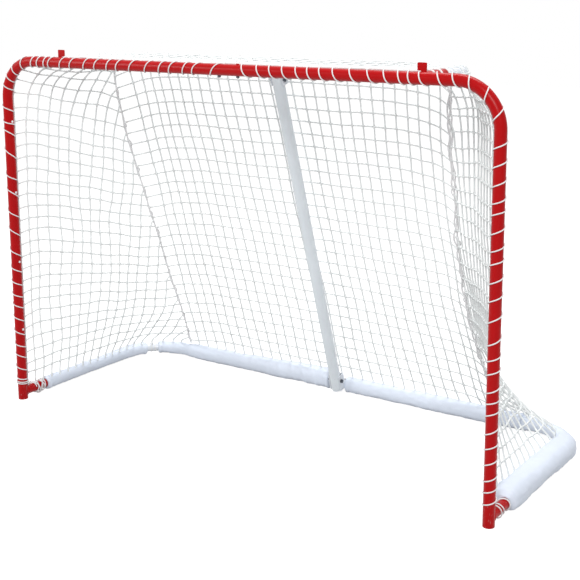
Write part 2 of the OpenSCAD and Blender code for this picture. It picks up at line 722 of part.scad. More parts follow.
// The cord that joins the back net to a side net runs down behind the back net's edge, and
// wanders a little from side to side.
module seam_cord(side) {
    steps = 12;
    wander = 0.45 * cord_d;
    off = wrap_r + strand_t + net_gap + cord_d / 2;
    drop = 1.5 * cord_d;
    path = [for (i = [0:steps])
        let (h = drop + (back_l - 2 * drop) * i / steps)
        [seam_x - net_gap - strand_w / 2 + wander * sin(150 * i),
         shelf_depth + off * cos(wrap_a) + h * sin(wrap_a),
         bar_z + off * sin(wrap_a) - h * cos(wrap_a)]];
    color("white") sided(side) cord(path, [for (p = path) [0, cos(wrap_a), sin(wrap_a)]]);
}
module left_seam_cord() { seam_cord(-1); }
module right_seam_cord() { seam_cord(1); }

// ---- sleeves ------------------------------------------------------------------------------

// Upright sections of a sleeve, cut flat where it rests on the floor. A section's +X points
// outwards from the goal, and grow widens the hem.
module floored() {
    intersection() {
        children();
        translate([-wide_sleeve_w, 0]) square(2 * wide_sleeve_w);
    }
}
module slim_section(grow = 0) { floored() translate([0, base_z]) circle(r = sleeve_r + grow); }
module tight_section(grow = 0) { floored() translate([0, base_z]) circle(r = tight_r + grow); }
module wide_section(grow = 0) {
    h = wide_sleeve_h;
    spread = (wide_sleeve_w - h) / 2;
    floored() translate([-wide_in, h / 2 - sole]) {
        for (x = [-spread, spread]) translate([x, 0]) circle(d = h + 2 * grow);
        translate([-spread, -h / 2 - grow]) square([2 * spread, h + 2 * grow]);
    }
}

// A section with the bore for the base tube.
module bored() {
    difference() {
        children();
        base_bore();
    }
}
module base_bore() { translate([0, base_z]) circle(r = back_r + sleeve_room); }

// The three stretches of a sleeve, drawn for the right half of the goal: along the side, round
// the corner and along the rear.
module along_side(y0, y1) {
    translate([post_x, y1, 0]) rotate([90, 0, 0]) linear_extrude(y1 - y0) children();
}
module round_corner(from, to) {
    translate([bend_x, bend_y, 0]) rotate([0, 0, from]) rotate_extrude(angle = to - from)
        translate([base_corner_r, 0]) children();
}
module along_rear(x0, x1) {
    translate([x0, base_depth, 0]) rotate([90, 0, 90]) linear_extrude(x1 - x0) children();
}

module left_side_sleeve() {
    color("lavender") sided(-1) {
        along_side(side_start, bend_y) bored() tight_section();
        along_side(side_start, side_start + hem_w) bored() tight_section(hem_t);
        round_corner(0, corner_from) bored() tight_section();
    }
}

module left_rear_sleeve() {
    color("lavender") sided(-1) {
        round_corner(90, corner_to) bored() tight_section();
        along_rear(bend_x - thin, bend_x) bored() tight_section();
        difference() {
            translate([bend_x - taper_l, base_depth, base_z]) rotate([0, 90, 0])
                cylinder(h = taper_l, r1 = sleeve_r, r2 = tight_r);
            along_rear(bend_x - taper_l - cut, bend_x + cut) base_bore();
            translate([bend_x - taper_l - cut, base_depth - sleeve_d, -sleeve_d])
                cube([taper_l + 2 * cut, 2 * sleeve_d, sleeve_d]);
        }
        along_rear(centre_left, bend_x - taper_l + thin) bored() slim_section();
        along_rear(centre_left, centre_left + hem_w) bored() slim_section(hem_t);
    }
}

module right_rear_sleeve() {
    end = bend_x - wide_end - net_gap;
    color("lavender") {
        along_rear(centre_right, end) bored() slim_section();
        for (x = [centre_right, end - hem_w]) along_rear(x, x + hem_w) bored() slim_section(hem_t);
    }
}

// The wide sleeve lies inwards of the tube, and is drawn tight round the right rear corner.
module right_side_sleeve() {
    color("lavender") {
        along_side(side_start, bend_y - taper_l + thin) bored() wide_section();
        along_side(side_start, side_start + hem_w) bored() wide_section(hem_t);
        difference() {
            hull() {
                along_side(bend_y - taper_l, bend_y - taper_l + thin) wide_section($fn = 32);
                along_side(bend_y - thin, bend_y) tight_section($fn = 32);
            }
            along_side(bend_y - taper_l - cut, bend_y + cut) base_bore();
        }
        along_side(bend_y - thin, bend_y) bored() tight_section();
        round_corner(0, 90) bored() tight_section();
        along_rear(bend_x - wide_end, bend_x) bored() tight_section();
        along_rear(bend_x - wide_end, bend_x - wide_end + hem_w) bored() tight_section(hem_t);
    }
}

// ---- ties ---------------------------------------------------------------------------------

// A cable tie round the base tube, drawn round the X axis, its head on top.
module base_tie() {
    tie_t = 1.8;
    tie_w = 4.5;
    head = 5;
    difference() {
        union() {
            rotate([0, 90, 0]) cylinder(h = tie_w, d = back_d + 2 * seat + 2 * tie_t, center = true);
            translate([-head / 2, -head / 2, 0])
                cube([head, head, back_r + seat + 2 * tie_t]);
        }
        rotate([0, 90, 0]) cylinder(h = 4 * tie_w, d = back_d + 2 * seat, center = true);
    }
}

// Distance between the ties under the sleeves, and places of the two in the corner's bare gap.
tie_step = 150;
corner_ties = [0.41, 0.7];
module base_ties() {
    color("white") {
        for (side = [-1, 1]) {
            for (y = [base_stub + tie_step / 2:tie_step:bend_y - tie_step / 3])
                translate([side * post_x, y, base_z]) rotate([0, 0, 90]) base_tie();
            for (x = [tie_step:tie_step:bend_x - tie_step / 3])
                translate([side * x, base_depth, base_z]) base_tie();
        }
        for (share = corner_ties)
            sided(-1) translate([bend_x, bend_y, base_z])
                rotate([0, 0, corner_from + share * (corner_to - corner_from)])
                translate([base_corner_r, 0, 0]) rotate([0, 0, 90]) base_tie();
        translate([-centre_left + 5, base_depth, base_z]) base_tie();
    }
}

left_frame_tube();
right_frame_tube();
crossbar_coupling();
crossbar_bolts();
crossbar_nuts();
foot_plugs();
left_base_stub();
right_base_stub();
left_shelf_stub();
right_shelf_stub();
left_shelf_tab();
right_shelf_tab();
left_base_tube();
right_base_tube();
base_side_couplings();
base_rear_coupling();
left_shelf_tube();
right_shelf_tube();
shelf_side_couplings();
shelf_rear_coupling();
joint_screws();
centre_bar();
centre_bar_plugs();
upper_bar_bracket();
lower_bar_bracket();
bracket_bolts();
bracket_nuts();
left_net_pegs();
right_net_pegs();
back_net();
shelf_net();
left_side_net();
right_side_net();
left_seam_cord();
right_seam_cord();
left_post_lacing();
right_post_lacing();
left_crossbar_lacing();
right_crossbar_lacing();
left_stub_lacing();
right_stub_lacing();
left_side_sleeve();
left_rear_sleeve();
right_rear_sleeve();
right_side_sleeve();
base_ties();
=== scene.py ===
"""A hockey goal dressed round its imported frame: powder coated tubes, a laced twine net and
padded base sleeves. Metres, +Z up, +Y to the back, the mouth towards -Y."""

import math

import bpy
import numpy as np
from bpy.props import FloatProperty, FloatVectorProperty, IntProperty, PointerProperty
from mathutils import Matrix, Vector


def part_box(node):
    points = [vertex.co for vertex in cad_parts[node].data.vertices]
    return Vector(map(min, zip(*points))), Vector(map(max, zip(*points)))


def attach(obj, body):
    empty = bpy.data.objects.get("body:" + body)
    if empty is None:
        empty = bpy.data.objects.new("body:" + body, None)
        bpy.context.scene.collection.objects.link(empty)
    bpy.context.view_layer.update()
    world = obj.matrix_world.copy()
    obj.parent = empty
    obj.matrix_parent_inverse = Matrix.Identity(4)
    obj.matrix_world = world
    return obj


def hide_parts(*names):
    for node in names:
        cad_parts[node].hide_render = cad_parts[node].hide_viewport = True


bl_info = {
    "name": "Hockey Goal",
    "version": (1, 0, 0),
    "blender": (4, 5, 0),
    "location": "View3D > Sidebar > Hockey Goal",
    "description": "Nets, lacing, padded sleeves and finishes of a hockey goal",
    "category": "Object",
}

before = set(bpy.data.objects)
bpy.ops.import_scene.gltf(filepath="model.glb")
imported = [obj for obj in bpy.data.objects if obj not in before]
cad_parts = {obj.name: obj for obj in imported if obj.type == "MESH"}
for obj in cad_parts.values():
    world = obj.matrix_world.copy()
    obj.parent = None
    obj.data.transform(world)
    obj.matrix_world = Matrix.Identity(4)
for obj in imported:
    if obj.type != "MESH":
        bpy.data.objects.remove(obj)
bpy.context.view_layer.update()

# ---- what the frame says ------------------------------------------------------------------


def corners(node):
    low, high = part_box(node)
    return np.array(low), np.array(high)


FRAME_LO, FRAME_HI = corners("right_frame_tube")
BASE_LO, BASE_HI = corners("left_base_tube")
SHELF_LO, SHELF_HI = corners("left_shelf_tube")
FRAME_R = (FRAME_HI[1] - FRAME_LO[1]) / 2
POST_X = FRAME_HI[0] - FRAME_R
BAR_Z = FRAME_HI[2] - FRAME_R
BASE_R = (BASE_HI[2] - BASE_LO[2]) / 2
BASE_Z = BASE_LO[2] + BASE_R
BASE_Y = BASE_HI[1] - BASE_R
SHELF_R = (SHELF_HI[2] - SHELF_LO[2]) / 2
SHELF_Y = SHELF_HI[1] - SHELF_R
SHELF_X = -SHELF_LO[0] - SHELF_R
STUB_END = BASE_LO[1]
# Bend radii of the tubes' axes.
FRAME_BEND = 0.130
BASE_BEND = 0.180
SHELF_BEND = 0.100
LEFT, RIGHT = -1, 1
SIDE_NAME = {LEFT: "left", RIGHT: "right"}

# ---- settings -----------------------------------------------------------------------------


def length(name, default, description):
    return FloatProperty(name=name, default=default, description=description,
                         unit="LENGTH", subtype="DISTANCE", precision=4)


def tint(name, default, description):
    return FloatVectorProperty(name=name, default=default, description=description,
                               size=3, min=0, max=1, subtype="COLOR")


class GoalSizes(bpy.types.PropertyGroup):
    """Sizes of the net, the lacing and the padding."""

    mesh_pitch: length("Mesh", 0.0445, "Distance between the strands of the net")
    strand_r: length("Strand radius", 0.0029, "Radius of a net strand")
    knot_swell: FloatProperty(name="Crossing swell", default=1.35, min=1, max=2,
                              description="How much thicker a strand is where two cross")
    seam_droop: length("Seam droop", 0.047, "How far the back net's rows hang down at a seam")
    droop_reach: length("Droop reach", 0.090, "Distance in which the droop dies away")
    slackness: length("Slack", 0.0032, "How far the crossings stray from a true grid")
    lace_r: length("Lacing radius", 0.0019, "Radius of the lacing cord")
    sleeve_d: length("Sleeve", 0.0575, "Height and width of the rear sleeves")
    rear_swell: length("Rear swell", 0.016, "How much taller the left rear sleeve gets")
    tight_d: length("Tight sleeve", 0.047, "Diameter of a sleeve drawn tight on the tube")
    wide_sleeve_h: length("Wide sleeve height", 0.070, "Height of the right side sleeve")
    wide_sleeve_w: length("Wide sleeve width", 0.086, "Width of the right side sleeve")
    seed: IntProperty(name="Seed", default=7, description="Seed of every irregularity")


class GoalColours(bpy.types.PropertyGroup):
    """Colours of the frame, the net and the padding."""

    red: tint("Red paint", (0.430, 0.0012, 0.0026), "Powder coat of the mouth frame")
    white: tint("White paint", (0.74, 0.77, 0.82), "Powder coat of the base and shelf")
    grey: tint("Bar paint", (0.74, 0.79, 0.83), "Powder coat of the centre bar")
    twine: tint("Twine", (0.91, 0.94, 0.94), "Strands of the net")
    lacing: tint("Lacing", (0.89, 0.89, 0.90), "Lacing cord and seam cords")
    cover: tint("Sleeve cover", (0.73, 0.79, 0.90), "Coated cloth of the sleeves")
    zinc: tint("Zinc", (0.55, 0.56, 0.58), "Plated couplings and screws")
    dark: tint("Dark steel", (0.110, 0.120, 0.140), "Bolts and nuts of the centre bar")
    rubber: tint("Black plastic", (0.02, 0.02, 0.02), "Plugs in the posts' feet")
    plastic: tint("White plastic", (0.80, 0.81, 0.82), "Pegs, plugs and ties")


def sizes():
    return bpy.context.scene.goal_sizes


def colours():
    return bpy.context.scene.goal_colours


# ---- shader maths -------------------------------------------------------------------------


class Wire:
    """One output of a shader node. Python's operators on it add Math nodes."""

    def __init__(self, finish, socket):
        self.finish = finish
        self.socket = socket

    def math(self, operation, *values):
        return self.finish.add("ShaderNodeMath", {"operation": operation},
                               dict(enumerate(values)))[0]

    def __add__(self, other):
        return self.math("ADD", self, other)

    def __radd__(self, other):
        return self.math("ADD", other, self)

    def __sub__(self, other):
        return self.math("SUBTRACT", self, other)

    def __rsub__(self, other):
        return self.math("SUBTRACT", other, self)

    def __mul__(self, other):
        return self.math("MULTIPLY", self, other)

    def __rmul__(self, other):
        return self.math("MULTIPLY", other, self)

    def wave(self):
        return self.math("SINE", self)

    def clamp(self):
        return self.math("MAXIMUM", self.math("MINIMUM", self, 1.0), 0.0)


class Outputs:
    """The outputs of a shader node, by name or place."""

    def __init__(self, finish, node):
        self.finish = finish
        self.node = node

    def __getitem__(self, key):
        return Wire(self.finish, self.node.outputs[key])


class Finish:
    """A material that is built from nodes."""

    def __init__(self, name):
        self.material = bpy.data.materials.new(name)
        self.material.use_nodes = True
        self.tree = self.material.node_tree
        self.tree.nodes.clear()

    def add(self, kind, settings=None, values=None):
        """A node of that type: its settings are set first, and then its sockets."""
        node = self.tree.nodes.new(kind)
        for key, value in (settings or {}).items():
            setattr(node, key, value)
        for key, value in (values or {}).items():
            socket = node.inputs[key]
            if isinstance(value, Wire):
                self.tree.links.new(value.socket, socket)
            elif hasattr(value, "__len__") and socket.type == "RGBA" and len(value) == 3:
                socket.default_value = (*value, 1)
            else:
                socket.default_value = value
        return Outputs(self, node)

    def place(self):
        return self.add("ShaderNodeTexCoord")["Object"]

    def lie(self):
        """Each point's place along and round the cloth or cord, in metres and in turns."""
        return self.add("ShaderNodeAttribute", {"attribute_name": "lie"})["Vector"]

    def parts(self, vector):
        return self.add("ShaderNodeSeparateXYZ", None, {0: vector})

    def noise(self, scale, detail=3.0, rough=0.55, vector=None):
        return self.add("ShaderNodeTexNoise", None, {
            "Vector": vector or self.place(), "Scale": scale, "Detail": detail,
            "Roughness": rough})[0]

    def stretch(self, vector, scale):
        return self.add("ShaderNodeVectorMath", {"operation": "MULTIPLY"},
                        {0: vector, 1: scale})["Vector"]

    def band(self, value, low, high):
        """0 below low, 1 above high and a soft step between."""
        return self.add("ShaderNodeMapRange", {"interpolation_type": "SMOOTHSTEP"},
                        {"Value": value, "From Min": low, "From Max": high})[0]

    def blend(self, factor, first, second):
        return self.add("ShaderNodeMix", {"data_type": "RGBA"},
                        {0: factor, 6: first, 7: second})[2]

    def bump(self, height, depth, strength=1.0, normal=None):
        values = {"Height": height, "Distance": depth, "Strength": strength}
        if normal is not None:
            values["Normal"] = normal
        return self.add("ShaderNodeBump", None, values)["Normal"]

    def surface(self, **values):
        """Ends the material in one surface shader."""
        named = {key.replace("_", " ").title().replace("Ior", "IOR"): value
                 for key, value in values.items()}
        shader = self.add("ShaderNodeBsdfPrincipled", None, named)["BSDF"]
        self.add("ShaderNodeOutputMaterial", None, {"Surface": shader})
        return self.material


# How high dirt and scuffs reach, the colours of wear, of the painted shade along the sleeves'
# bottoms and of dust specks, the strands in a braid, and the distance of the cloth's threads.
DIRT_HEIGHT = 0.16
RUBBED_PAINT = (0.42, 0.36, 0.35)
SLEEVE_BOTTOM_SHADE = (0.42, 0.43, 0.47)
DARK_SPECK = (0.40, 0.38, 0.36)
PLAITS = 4
THREAD_PITCH = 0.0011


def shade(colour, factor):
    return tuple(min(1.0, part * factor) for part in colour)


def powder_coat(name, colour, gloss, dust, shine=0.4, coat=0.2):
    """Powder coated steel: a fine orange peel, slow changes of gloss, and dust and scuffs that
    gather low down, where the feet are kicked and dragged."""
    finish = Finish(name)
    spot = finish.place()
    height = finish.parts(spot)["Z"]
    cloud = finish.noise(9.0)
    peel = finish.noise(900.0, 2.0)
    grain = finish.noise(260.0, 4.0, 0.6, finish.stretch(spot, (1.0, 1.0, 0.25)))
    low = 1 - finish.band(height, 0.0, DIRT_HEIGHT)
    scuff = finish.band(grain, 0.60, 0.70) * low
    tone = finish.blend(cloud, shade(colour, 0.90), shade(colour, 1.08))
    worn = finish.blend(scuff * dust, tone, RUBBED_PAINT)
    return finish.surface(
        base_color=worn, roughness=gloss + cloud * 0.07 + scuff * 0.25, metallic=0.0,
        ior=1.5, specular_ior_level=shine, coat_weight=coat, coat_roughness=0.12,
        normal=finish.bump(peel + cloud * 0.4, 0.00012, 0.55))


def plated_steel(name, colour, roughness):
    """Plated or blackened steel, with a faint drawn grain."""
    finish = Finish(name)
    spot = finish.place()
    grain = finish.noise(420.0, 3.0, 0.6, finish.stretch(spot, (0.25, 1.0, 1.0)))
    cloud = finish.noise(60.0)
    tone = finish.blend(cloud, shade(colour, 0.80), shade(colour, 1.12))
    return finish.surface(
        base_color=tone, metallic=1.0, roughness=roughness + grain * 0.18,
        normal=finish.bump(grain, 0.00006, 0.5))


def moulded(name, colour, roughness, pale=1.0):
    """Moulded plastic: a fine spark finish and a little grime."""
    finish = Finish(name)
    colour = shade(colour, pale)
    spark = finish.noise(1600.0, 2.0)
    cloud = finish.noise(45.0)
    tone = finish.blend(cloud, shade(colour, 0.90), shade(colour, 1.04))
    return finish.surface(
        base_color=tone, roughness=roughness + spark * 0.12, metallic=0.0, ior=1.46,
        normal=finish.bump(spark, 0.00005, 0.6))


def braided(name, colour, pitch, depth):
    """Braided cord: slanting plaits that cross along the strand, from the strand's own
    length and angle, with fuzz between them, and painted shade in the grooves between the
    plaits."""
    finish = Finish(name)
    parts = finish.parts(finish.lie())
    along = parts["X"] * (2 * math.pi / pitch)
    turn = parts["Y"] * (2 * math.pi * PLAITS)
    plait = (along + turn).wave() * (along - turn).wave()
    plait = plait * 0.5 + 0.5
    fuzz = finish.noise(2400.0, 3.0, 0.7)
    cloud = finish.noise(14.0)
    # Painted shade: the tone is darker where the plaits sink into grooves, and the fuzz varies
    # it at random.
    dark = finish.blend(cloud, shade(colour, 0.88), shade(colour, 0.93))
    pale = finish.blend(cloud, shade(colour, 0.95), shade(colour, 1.05))
    tone = finish.blend((plait * 0.75 + fuzz * 0.45).clamp(), dark, pale)
    return finish.surface(
        base_color=tone, roughness=0.78 + fuzz * 0.12, metallic=0.0, ior=1.45,
        sheen_weight=0.25, sheen_roughness=0.5, specular_ior_level=0.3,
        normal=finish.bump(plait + fuzz * 0.3, depth, 0.9))


def coated_cloth(name, colour):
    """Coated nylon over foam: a fine plain weave under a soft coat, creases and dust, and
    painted shade that darkens the cloth along its bottom.
    """
    finish = Finish(name)
    lie = finish.lie()
    parts = finish.parts(lie)
    thread = 2 * math.pi / THREAD_PITCH
    weave = (parts["X"] * thread).wave() * (parts["Y"] * thread).wave()
    crease = finish.noise(38.0, 5.0, 0.62, finish.stretch(lie, (1.0, 0.35, 1.0)))
    cloud = finish.noise(7.0, 3.0)
    speck = finish.noise(700.0, 2.0)
    height = finish.parts(finish.place())["Z"]
    low = 1 - finish.band(height, 0.001, 0.013)
    tone = finish.blend(cloud, shade(colour, 0.955), shade(colour, 1.03))
    # Painted shade: the cloth darkens towards a bluish grey in its lowest 13 mm above the
    # floor.
    tone = finish.blend(low * 0.30, tone, SLEEVE_BOTTOM_SHADE)
    tone = finish.blend(finish.band(speck, 0.64, 0.72) * 0.10, tone, DARK_SPECK)
    folds = finish.bump(crease, 0.0022, 0.55)
    return finish.surface(
        base_color=tone, roughness=0.46 + crease * 0.18, metallic=0.0, ior=1.45,
        sheen_weight=0.12, sheen_roughness=0.4,
        normal=finish.bump(weave, 0.00012, 0.5, folds))


# The finish, and the record's slot, of every solid that stays as it is.
KEPT = {
    "red_paint": ("left_frame_tube", "right_frame_tube", "left_base_stub", "right_base_stub",
                  "left_shelf_stub", "right_shelf_stub", "left_shelf_tab", "right_shelf_tab",
                  "crossbar_bolts"),
    "white_paint": ("left_base_tube", "right_base_tube", "left_shelf_tube",
                    "right_shelf_tube", "upper_bar_bracket", "lower_bar_bracket"),
    "grey_paint": ("centre_bar",),
    "zinc_steel": ("crossbar_coupling", "base_side_couplings", "base_rear_coupling",
                   "shelf_side_couplings", "shelf_rear_coupling", "joint_screws"),
    "dark_steel": ("crossbar_nuts", "bracket_bolts", "bracket_nuts"),
    "black_plastic": ("foot_plugs",),
    "white_plastic": ("centre_bar_plugs", "left_net_pegs", "right_net_pegs"),
    "nylon_tie": ("base_ties",),
}
# How each slot's finish is made, with its name, its colour and its own numbers.
SLOT_FINISHES = {
    "red_paint": (powder_coat, "red_powder_coat", "red", 0.27, 0.35, 0.14, 0.0),
    "white_paint": (powder_coat, "white_powder_coat", "white", 0.26, 0.5),
    "grey_paint": (powder_coat, "bar_powder_coat", "grey", 0.34, 0.4),
    "zinc_steel": (plated_steel, "zinc_plate", "zinc", 0.28),
    "dark_steel": (plated_steel, "black_oxide", "dark", 0.34),
    "black_plastic": (moulded, "foot_plug_plastic", "rubber", 0.50),
    "white_plastic": (moulded, "peg_plastic", "plastic", 0.32),
    "nylon_tie": (moulded, "tie_nylon", "plastic", 0.24, 1.02),
    "net_twine": (braided, "net_twine", "twine", 0.0042, 0.00035),
    "lacing_cord": (braided, "lacing_cord", "lacing", 0.0050, 0.00045),
    "sleeve_cover": (coated_cloth, "sleeve_cover", "cover"),
}
FINISHES = {}


def finishes():
    """Every finish by the record's slot, made once."""
    if not FINISHES:
        for slot, (make, name, colour, *numbers) in SLOT_FINISHES.items():
            FINISHES[slot] = make(name, tuple(getattr(colours(), colour)), *numbers)
    return FINISHES


# ---- mesh helpers -------------------------------------------------------------------------


def unit(v):
    return v / np.maximum(np.linalg.norm(v, axis=-1, keepdims=True), 1e-9)


def eased(value, low, high):
    """0 at low, 1 at high and a soft step between."""
    t = np.clip((value - low) / (high - low), 0, 1)
    return t * t * (3 - 2 * t)


def length_along(path):
    """Distance from a path's start to each of its points."""
    return np.concatenate([[0], np.cumsum(np.linalg.norm(np.diff(path, axis=0), axis=1))])


def tube_faces(start, rings, around):
    """Faces of a closed tube of rings, whose points are counted from start."""
    faces = []
    for i in range(rings - 1):
        a, b = start + i * around, start + (i + 1) * around
        faces += [(a + k, a + (k + 1) % around, b + (k + 1) % around, b + k)
                  for k in range(around)]
    last = start + (rings - 1) * around
    faces.append(tuple(start + k for k in reversed(range(around))))
    faces.append(tuple(last + k for k in range(around)))
    return faces


def piece_of(name, points, faces, lie, slot, replaces=()):
    """A piece of the object from its points and faces. lie holds each point's place along
    and round the cloth or cord."""
    mesh = bpy.data.meshes.new(name)
    mesh.from_pydata([tuple(p) for p in points], [], faces)
    mesh.polygons.foreach_set("use_smooth", [True] * len(mesh.polygons))
    made = mesh.attributes.new("lie", "FLOAT_VECTOR", "POINT")
    made.data.foreach_set("vector", np.asarray(lie, np.float32).ravel())
    mesh.materials.append(finishes()[slot])
    mesh.update()
    piece = bpy.data.objects.new(name, mesh)
    bpy.context.scene.collection.objects.link(piece)
    if replaces:
        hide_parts(*replaces)
    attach(piece, "root")
    return piece


def rings_along(path):
    """Two square directions at each point of a path, carried along it without twist."""
    ahead = unit(np.gradient(path, axis=0))
    first = np.cross(ahead[0], [0.0, 0.0, 1.0])
    if np.linalg.norm(first) < 0.1:
        first = np.cross(ahead[0], [1.0, 0.0, 0.0])
    side = np.zeros_like(path)
    side[0] = unit(first)
    for i in range(1, len(path)):
        side[i] = unit(side[i - 1] - ahead[i] * (side[i - 1] @ ahead[i]))
    return side, np.cross(ahead, side)


def cords(name, paths, slot, sides, replaces=()):
    """One piece of closed cords. paths holds pairs of points and radii."""
    points, faces, lie, start = [], [], [], 0
    angle = np.arange(sides) * 2 * math.pi / sides
    for path, radius in paths:
        path = np.asarray(path, float)
        radius = np.broadcast_to(radius, len(path))
        side, up = rings_along(path)
        ring = (np.cos(angle)[None, :, None] * side[:, None]
                + np.sin(angle)[None, :, None] * up[:, None])
        points.append((path[:, None] + ring * radius[:, None, None]).reshape(-1, 3))
        run = np.repeat(length_along(path), sides)
        turn = np.tile(np.arange(sides) / sides, len(path))
        lie.append(np.stack([run, turn, np.zeros(len(turn))], 1))
        faces += tube_faces(start, len(path), sides)
        start += len(path) * sides
    return piece_of(name, np.concatenate(points), faces, np.concatenate(lie), slot, replaces)


# Steps of a strand from one crossing to the next, and how steeply its swelling dies away.
STEPS = 4
SWELL_FADE = 4.5


def smooth_path(knots, swell, radius):
    """A strand through its crossings: a smooth curve that is thicker at each crossing.
    swell says how much thicker each one is."""
    knots = np.asarray(knots, float)
    before = np.concatenate([[2 * knots[0] - knots[1]], knots, [2 * knots[-1] - knots[-2]]])
    path, thick = [], []
    for i in range(len(knots) - 1):
        p0, p1, p2, p3 = before[i:i + 4]
        for k in range(STEPS):
            t = k / STEPS
            path.append(0.5 * (2 * p1 + (p2 - p0) * t + (2 * p0 - 5 * p1 + 4 * p2 - p3) * t * t
                               + (3 * p1 - p0 - 3 * p2 + p3) * t ** 3))
            near = max(1 - SWELL_FADE * t, 0.0)
            near_next = max(1 - SWELL_FADE * (1 - t), 0.0)
            thick.append(radius * (1 + (swell[i] - 1) * near + (swell[i + 1] - 1) * near_next))
    path.append(knots[-1])
    thick.append(radius * swell[-1])
    return np.array(path), np.array(thick)


def dice(salt):
    """Repeatable random numbers, one stream for each use."""
    return np.random.default_rng(1000 * sizes().seed + salt)


class Ripple:
    """A smooth random field over the plane, built from a few waves."""

    def __init__(self, salt, longest, shortest, count=14):
        source = dice(salt)
        heading = source.uniform(0, 2 * math.pi, count)
        size = np.exp(source.uniform(math.log(shortest), math.log(longest), count))
        self.kx = 2 * math.pi / size * np.cos(heading)
        self.ky = 2 * math.pi / size * np.sin(heading)
        self.phase = source.uniform(0, 2 * math.pi, count)
        self.weight = (size / longest) ** 0.7
        self.weight /= np.sqrt(np.sum(self.weight ** 2) / 2)

    def __call__(self, x, y):
        x, y = np.asarray(x, float)[..., None], np.asarray(y, float)[..., None]
        return np.sum(self.weight * np.sin(self.kx * x + self.ky * y + self.phase), -1)


# ---- camera and stage ---------------------------------------------------------------------

CAMERA_SPOT = (2.1697, -2.7802, 1.4716)
CAMERA_HEADING = 34.4239
CAMERA_DOWN = 11.2625
CAMERA_ROLL = -0.2638
CAMERA_LENS = 71.58
CAMERA_SHIFT = -0.1209


def placed(name, data, right, up, back, spot):
    """An object for a camera's or a lamp's data, which looks away from back."""
    made = bpy.data.objects.new(name, data)
    bpy.context.scene.collection.objects.link(made)
    matrix = np.eye(4)
    matrix[:3, 0], matrix[:3, 1], matrix[:3, 2], matrix[:3, 3] = right, up, back, spot
    made.matrix_world = Matrix(matrix)
    return made


def camera():
    """The camera at its viewing angle."""
    heading, down, roll = map(math.radians, (CAMERA_HEADING, CAMERA_DOWN, CAMERA_ROLL))
    ahead = np.array([-math.sin(heading) * math.cos(down),
                      math.cos(heading) * math.cos(down), -math.sin(down)])
    right = np.array([math.cos(heading), math.sin(heading), 0.0])
    up = np.cross(right, ahead)
    right, up = (right * math.cos(roll) + up * math.sin(roll),
                 up * math.cos(roll) - right * math.sin(roll))
    data = bpy.data.cameras.new("camera")
    data.sensor_width = 36.0
    data.lens = CAMERA_LENS
    data.shift_y = CAMERA_SHIFT
    data.clip_end = 60.0
    bpy.context.scene.camera = placed("camera", data, right, up, -ahead, CAMERA_SPOT)


# Each lamp's place, what it points at, its width and height, and its power.
LAMPS = {
    "key_light": ((3.2, -4.6, 4.2), (0, 0.2, 0.6), (2.2, 2.2), 230),
    "fill_light": ((-4.2, -3.4, 2.8), (0, 0.2, 0.6), (2.2, 2.2), 100),
    "top_light": ((0.0, 1.6, 4.6), (0, 0.3, 0.6), (2.6, 1.2), 112),
}


def softbox(name, spot, target, size, power):
    data = bpy.data.lights.new(name, "AREA")
    data.shape = "RECTANGLE"
    data.size, data.size_y = size
    data.energy = power
    back = unit(np.array(spot, float) - np.array(target, float))
    right = unit(np.cross([0.0, 0.0, 1.0], back))
    placed(name, data, right, np.cross(back, right), back, spot)


def seen_white(finish):
    """1 for the rays that see the background straight, in gloss or through glass."""
    ray = finish.add("ShaderNodeLightPath")
    return (ray["Is Camera Ray"] + ray["Is Glossy Ray"] + ray["Is Transmission Ray"]).clamp()


# Strength of the room's light, the floor's own glow and grey, its reach and how far it lies
# below the goal.
ROOM_LIGHT = 0.46
FLOOR_GLOW = 0.86
FLOOR_GREY = (0.45, 0.45, 0.45)
WHITE = (1.0, 1.0, 1.0)
FLOOR_HALF = 14.0
FLOOR_DROP = 0.0004


def floor_finish():
    """A white floor that keeps a soft shadow."""
    finish = Finish("floor_white")
    dull = finish.add("ShaderNodeBsdfDiffuse", None, {"Color": FLOOR_GREY})[0]
    glow = finish.add("ShaderNodeEmission", None,
                      {"Color": WHITE, "Strength": seen_white(finish) * FLOOR_GLOW})[0]
    both = finish.add("ShaderNodeAddShader", None, {0: dull, 1: glow})[0]
    finish.add("ShaderNodeOutputMaterial", None, {"Surface": both})
    return finish.material


class Room(Finish):
    """The world, which is built from nodes as a material is."""

    def __init__(self):
        self.world = bpy.data.worlds.new("white_room")
        self.world.use_nodes = True
        self.tree = self.world.node_tree
        self.tree.nodes.clear()


def white_world():
    """A room that lights the object softly and is seen as white."""
    room = Room()
    strength = seen_white(room) * (1.0 - ROOM_LIGHT) + ROOM_LIGHT
    back = room.add("ShaderNodeBackground", None, {"Color": WHITE, "Strength": strength})[0]
    room.add("ShaderNodeOutputWorld", None, {"Surface": back})
    bpy.context.scene.world = room.world


# ---- the lines that the nets follow -------------------------------------------------------

# How far a net's strands lie off a tube, and the height of the rear sleeves' tops.
NET_LIFT = 0.0022
SLEEVE_TOP = 0.0585
NET_WRAP = SHELF_R + NET_LIFT
# The ends of each seam, as distance from the middle, depth and height, and how far the net
# draws its middle in.
SEAM_HEAD = {LEFT: (0.7035, 0.300, 1.2365), RIGHT: (0.610, 0.363, 1.2350)}
SEAM_FOOT = {LEFT: (0.730, 0.730, 0.0585), RIGHT: (0.622, 0.730, 0.0585)}
SEAM_DRAWN = {LEFT: (0.0, 0.0, 0.0), RIGHT: (-0.040, -0.040, 0.0)}
# How far the left seam is pulled towards the mouth and outwards, at shares of its height.
SEAM_STRAY = ((0.0, 0.1, 0.22, 0.35, 0.5, 0.65, 0.78, 0.86, 0.93, 1.0),
              (0.0, 0.002, 0.013, 0.016, 0.024, 0.034, 0.043, 0.036, 0.024, 0.0))
# How far both seams wander, and their length.
SEAM_WANDER = 0.0030
SEAM_LONG = 1.24
# Depth at which the back net's head starts, on the left shelf arm.
HEAD_START = 0.227
